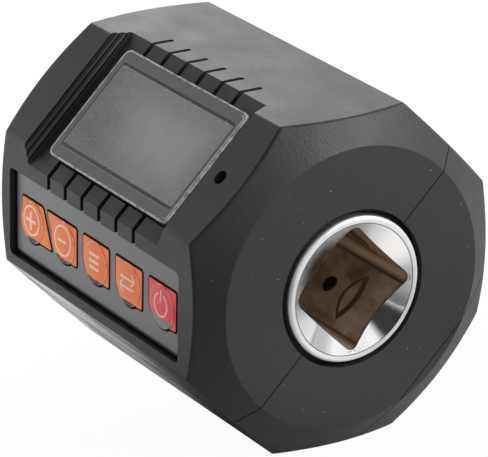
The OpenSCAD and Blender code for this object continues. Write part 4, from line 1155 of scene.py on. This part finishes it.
class ADAPTER_OT_stage(bpy.types.Operator):
    """Sets the floor, the light and the camera"""
    bl_idname = "adapter.stage"
    bl_label = "Stage"

    def execute(self, context):
        look = settings().stage
        low, high = (Vector(corner) for corner in cad_box)
        middle = (low + high) / 2
        self.floor(look, low.z)
        self.world(look)
        softbox("front_softbox", (0.27, -0.36, 0.32), middle, (0.30, 0.30), look.front_glow)
        softbox("overhead_softbox", (0.10, 0.20, 0.55), middle, (0.40, 0.30), look.top_glow)
        softbox("rear_softbox", (0.17, 0.48, 0.26), middle, (0.30, 0.30), look.rear_glow)
        self.socket_lamp(look, Vector((0, low.y + 14 * MM, 0)))
        softbox("low_softbox", (-0.11, 0.15, 0.05), middle, (0.08, 0.05), look.low_glow)
        self.camera(look)
        context.scene.view_settings.view_transform = "Standard"
        return {"FINISHED"}

    def socket_lamp(self, look, target):
        """A narrow lamp in front, which only reaches into the socket."""
        away = Vector((-0.08, -0.45, 0.13))
        reach = 9 * MM
        spot = lamp("socket_lamp", "SPOT", target + away, target)
        spot.energy = look.socket_watts
        spot.shadow_soft_size = 0.02
        spot.spot_size = 2 * math.atan(reach / away.length)
        spot.spot_blend = 0.5

    def floor(self, look, level):
        """A pale floor that the camera sees as white but for the object's shadow."""
        bm = bmesh.new()
        bmesh.ops.create_grid(bm, x_segments=1, y_segments=1, size=1.5,
                              matrix=Matrix.Translation((0, 0, level)))
        floor = loose_object("floor", bm)
        finish = Finish("floor_finish", {"Roughness": 0.9, "Specular IOR Level": 0.1})
        x, y = finish.coordinates()[:2]

        def away_from(place_x, place_y):
            return ((x - place_x) ** 2 + (y - place_y) ** 2) ** 0.5

        # Painted shade on the dim side and beside the object's front; a rear glow and a warm glow under its
        # front
        darker = (x * BRIGHT.x + y * BRIGHT.y).rise(-0.10, 0.03)
        darker = darker * away_from(0.036, -0.036).rise(0.014, 0.03)
        warm = away_from(0.006, -0.025).fall(0.003, 0.02)
        glow = finish.blend(y.rise(0.015, 0.05), (0, 0, 0), WHITE)
        finish.feed(base_color=finish.blend(darker, scaled(look.floor, 0.25), look.floor),
                    emission_color=finish.blend(warm, glow, (0.9, 0.82, 0.79)))
        finish.put(look.floor_glow, finish.shader.inputs["Emission Strength"])
        plain = finish.add("ShaderNodeEmission", None, {"Color": WHITE, "Strength": 1.0})
        lit = Signal(finish, finish.shader.outputs[0])
        mixed = finish.add("ShaderNodeMixShader", None, [finish.camera_ray() * look.whiteness, lit, plain])
        finish.put(mixed, finish.tree.nodes["Material Output"].inputs["Surface"])
        floor.data.materials.append(finish.material)

    def world(self, look):
        """White to the camera, and to all else a studio that is bright on the right and dim on the left."""
        studio = Studio("studio")
        bpy.context.scene.world = studio.world
        x, y, z = studio.coordinates()
        glow = (x * BRIGHT.x + y * BRIGHT.y).rise(-0.5, 0.7)
        glow = glow * (look.bright_side - look.dim_side) + look.dim_side

        # Dim overhead, with a lit wall in front that has a dark middle, and a dim patch at the right
        front = z * 0.20 - x * 0.066 - y * 0.978
        right = x * 0.904 - y * 0.425
        glow = glow * (1 - z.rise(0.55, 0.8) * (1 - look.dim_side))
        glow = glow + front.rise(0.86, 0.95) * look.front_wall
        glow = glow * (1 - front.rise(0.966, 0.99) * 0.97)
        glow = glow * (1 - right.rise(0.93, 0.99) * 0.5)
        lit = studio.add("ShaderNodeBackground", None,
                         {"Color": studio.blend(glow * 0.5, (0, 0, 0), WHITE), "Strength": 2})
        white = studio.add("ShaderNodeBackground", None, {"Color": WHITE, "Strength": 1})
        mixed = studio.add("ShaderNodeMixShader", None, [studio.camera_ray(), lit, white])
        studio.put(mixed, studio.tree.nodes["World Output"].inputs["Surface"])

    def camera(self, look):
        """The camera, as the pinhole fit to the photograph gives it."""
        lens = bpy.data.cameras.new("camera")
        lens.lens = look.lens
        lens.sensor_width = 36
        lens.clip_start = 0.01
        lens.clip_end = 10
        camera = bpy.data.objects.new("camera", lens)
        place = Matrix.Translation((-0.2495, -0.3595, 0.1824))
        right = Vector((0.8440, -0.5360, 0.0191))
        forward = Vector((0.5040, 0.7805, -0.3699))
        up = right.cross(forward).normalized()
        camera.matrix_world = place @ Matrix((right, up, -forward)).transposed().to_4x4()
        bpy.context.scene.collection.objects.link(camera)
        bpy.context.scene.camera = camera


STEPS = (ADAPTER_OT_housing, ADAPTER_OT_shaft, ADAPTER_OT_window, ADAPTER_OT_keypad, ADAPTER_OT_inside,
         ADAPTER_OT_stage)


class ADAPTER_PT_panel(bpy.types.Panel):
    """Lists the pieces of the torque adapter"""
    bl_idname = "ADAPTER_PT_panel"
    bl_label = "Torque adapter"
    bl_space_type = "VIEW_3D"
    bl_region_type = "UI"
    bl_category = "Torque adapter"

    def draw(self, context):
        for step in STEPS:
            self.layout.operator(step.bl_idname)
        for name in ("housing", "window", "keypad", "shaft", "stage"):
            group = getattr(settings(), name)
            for setting in group.__annotations__:
                self.layout.prop(group, setting)


CLASSES = (HousingSettings, WindowSettings, KeypadSettings, ShaftSettings, StageSettings, AdapterSettings,
           *STEPS, ADAPTER_PT_panel)


def register():
    for item in CLASSES:
        bpy.utils.register_class(item)
    bpy.types.Scene.torque_adapter = PointerProperty(type=AdapterSettings)


def unregister():
    del bpy.types.Scene.torque_adapter
    for item in reversed(CLASSES):
        bpy.utils.unregister_class(item)


def main():
    register()
    bpy.ops.adapter.housing()
    bpy.ops.adapter.shaft()
    bpy.ops.adapter.window()
    bpy.ops.adapter.keypad()
    bpy.ops.adapter.inside()
    bpy.ops.adapter.stage()


if __name__ == "__main__":
    main()
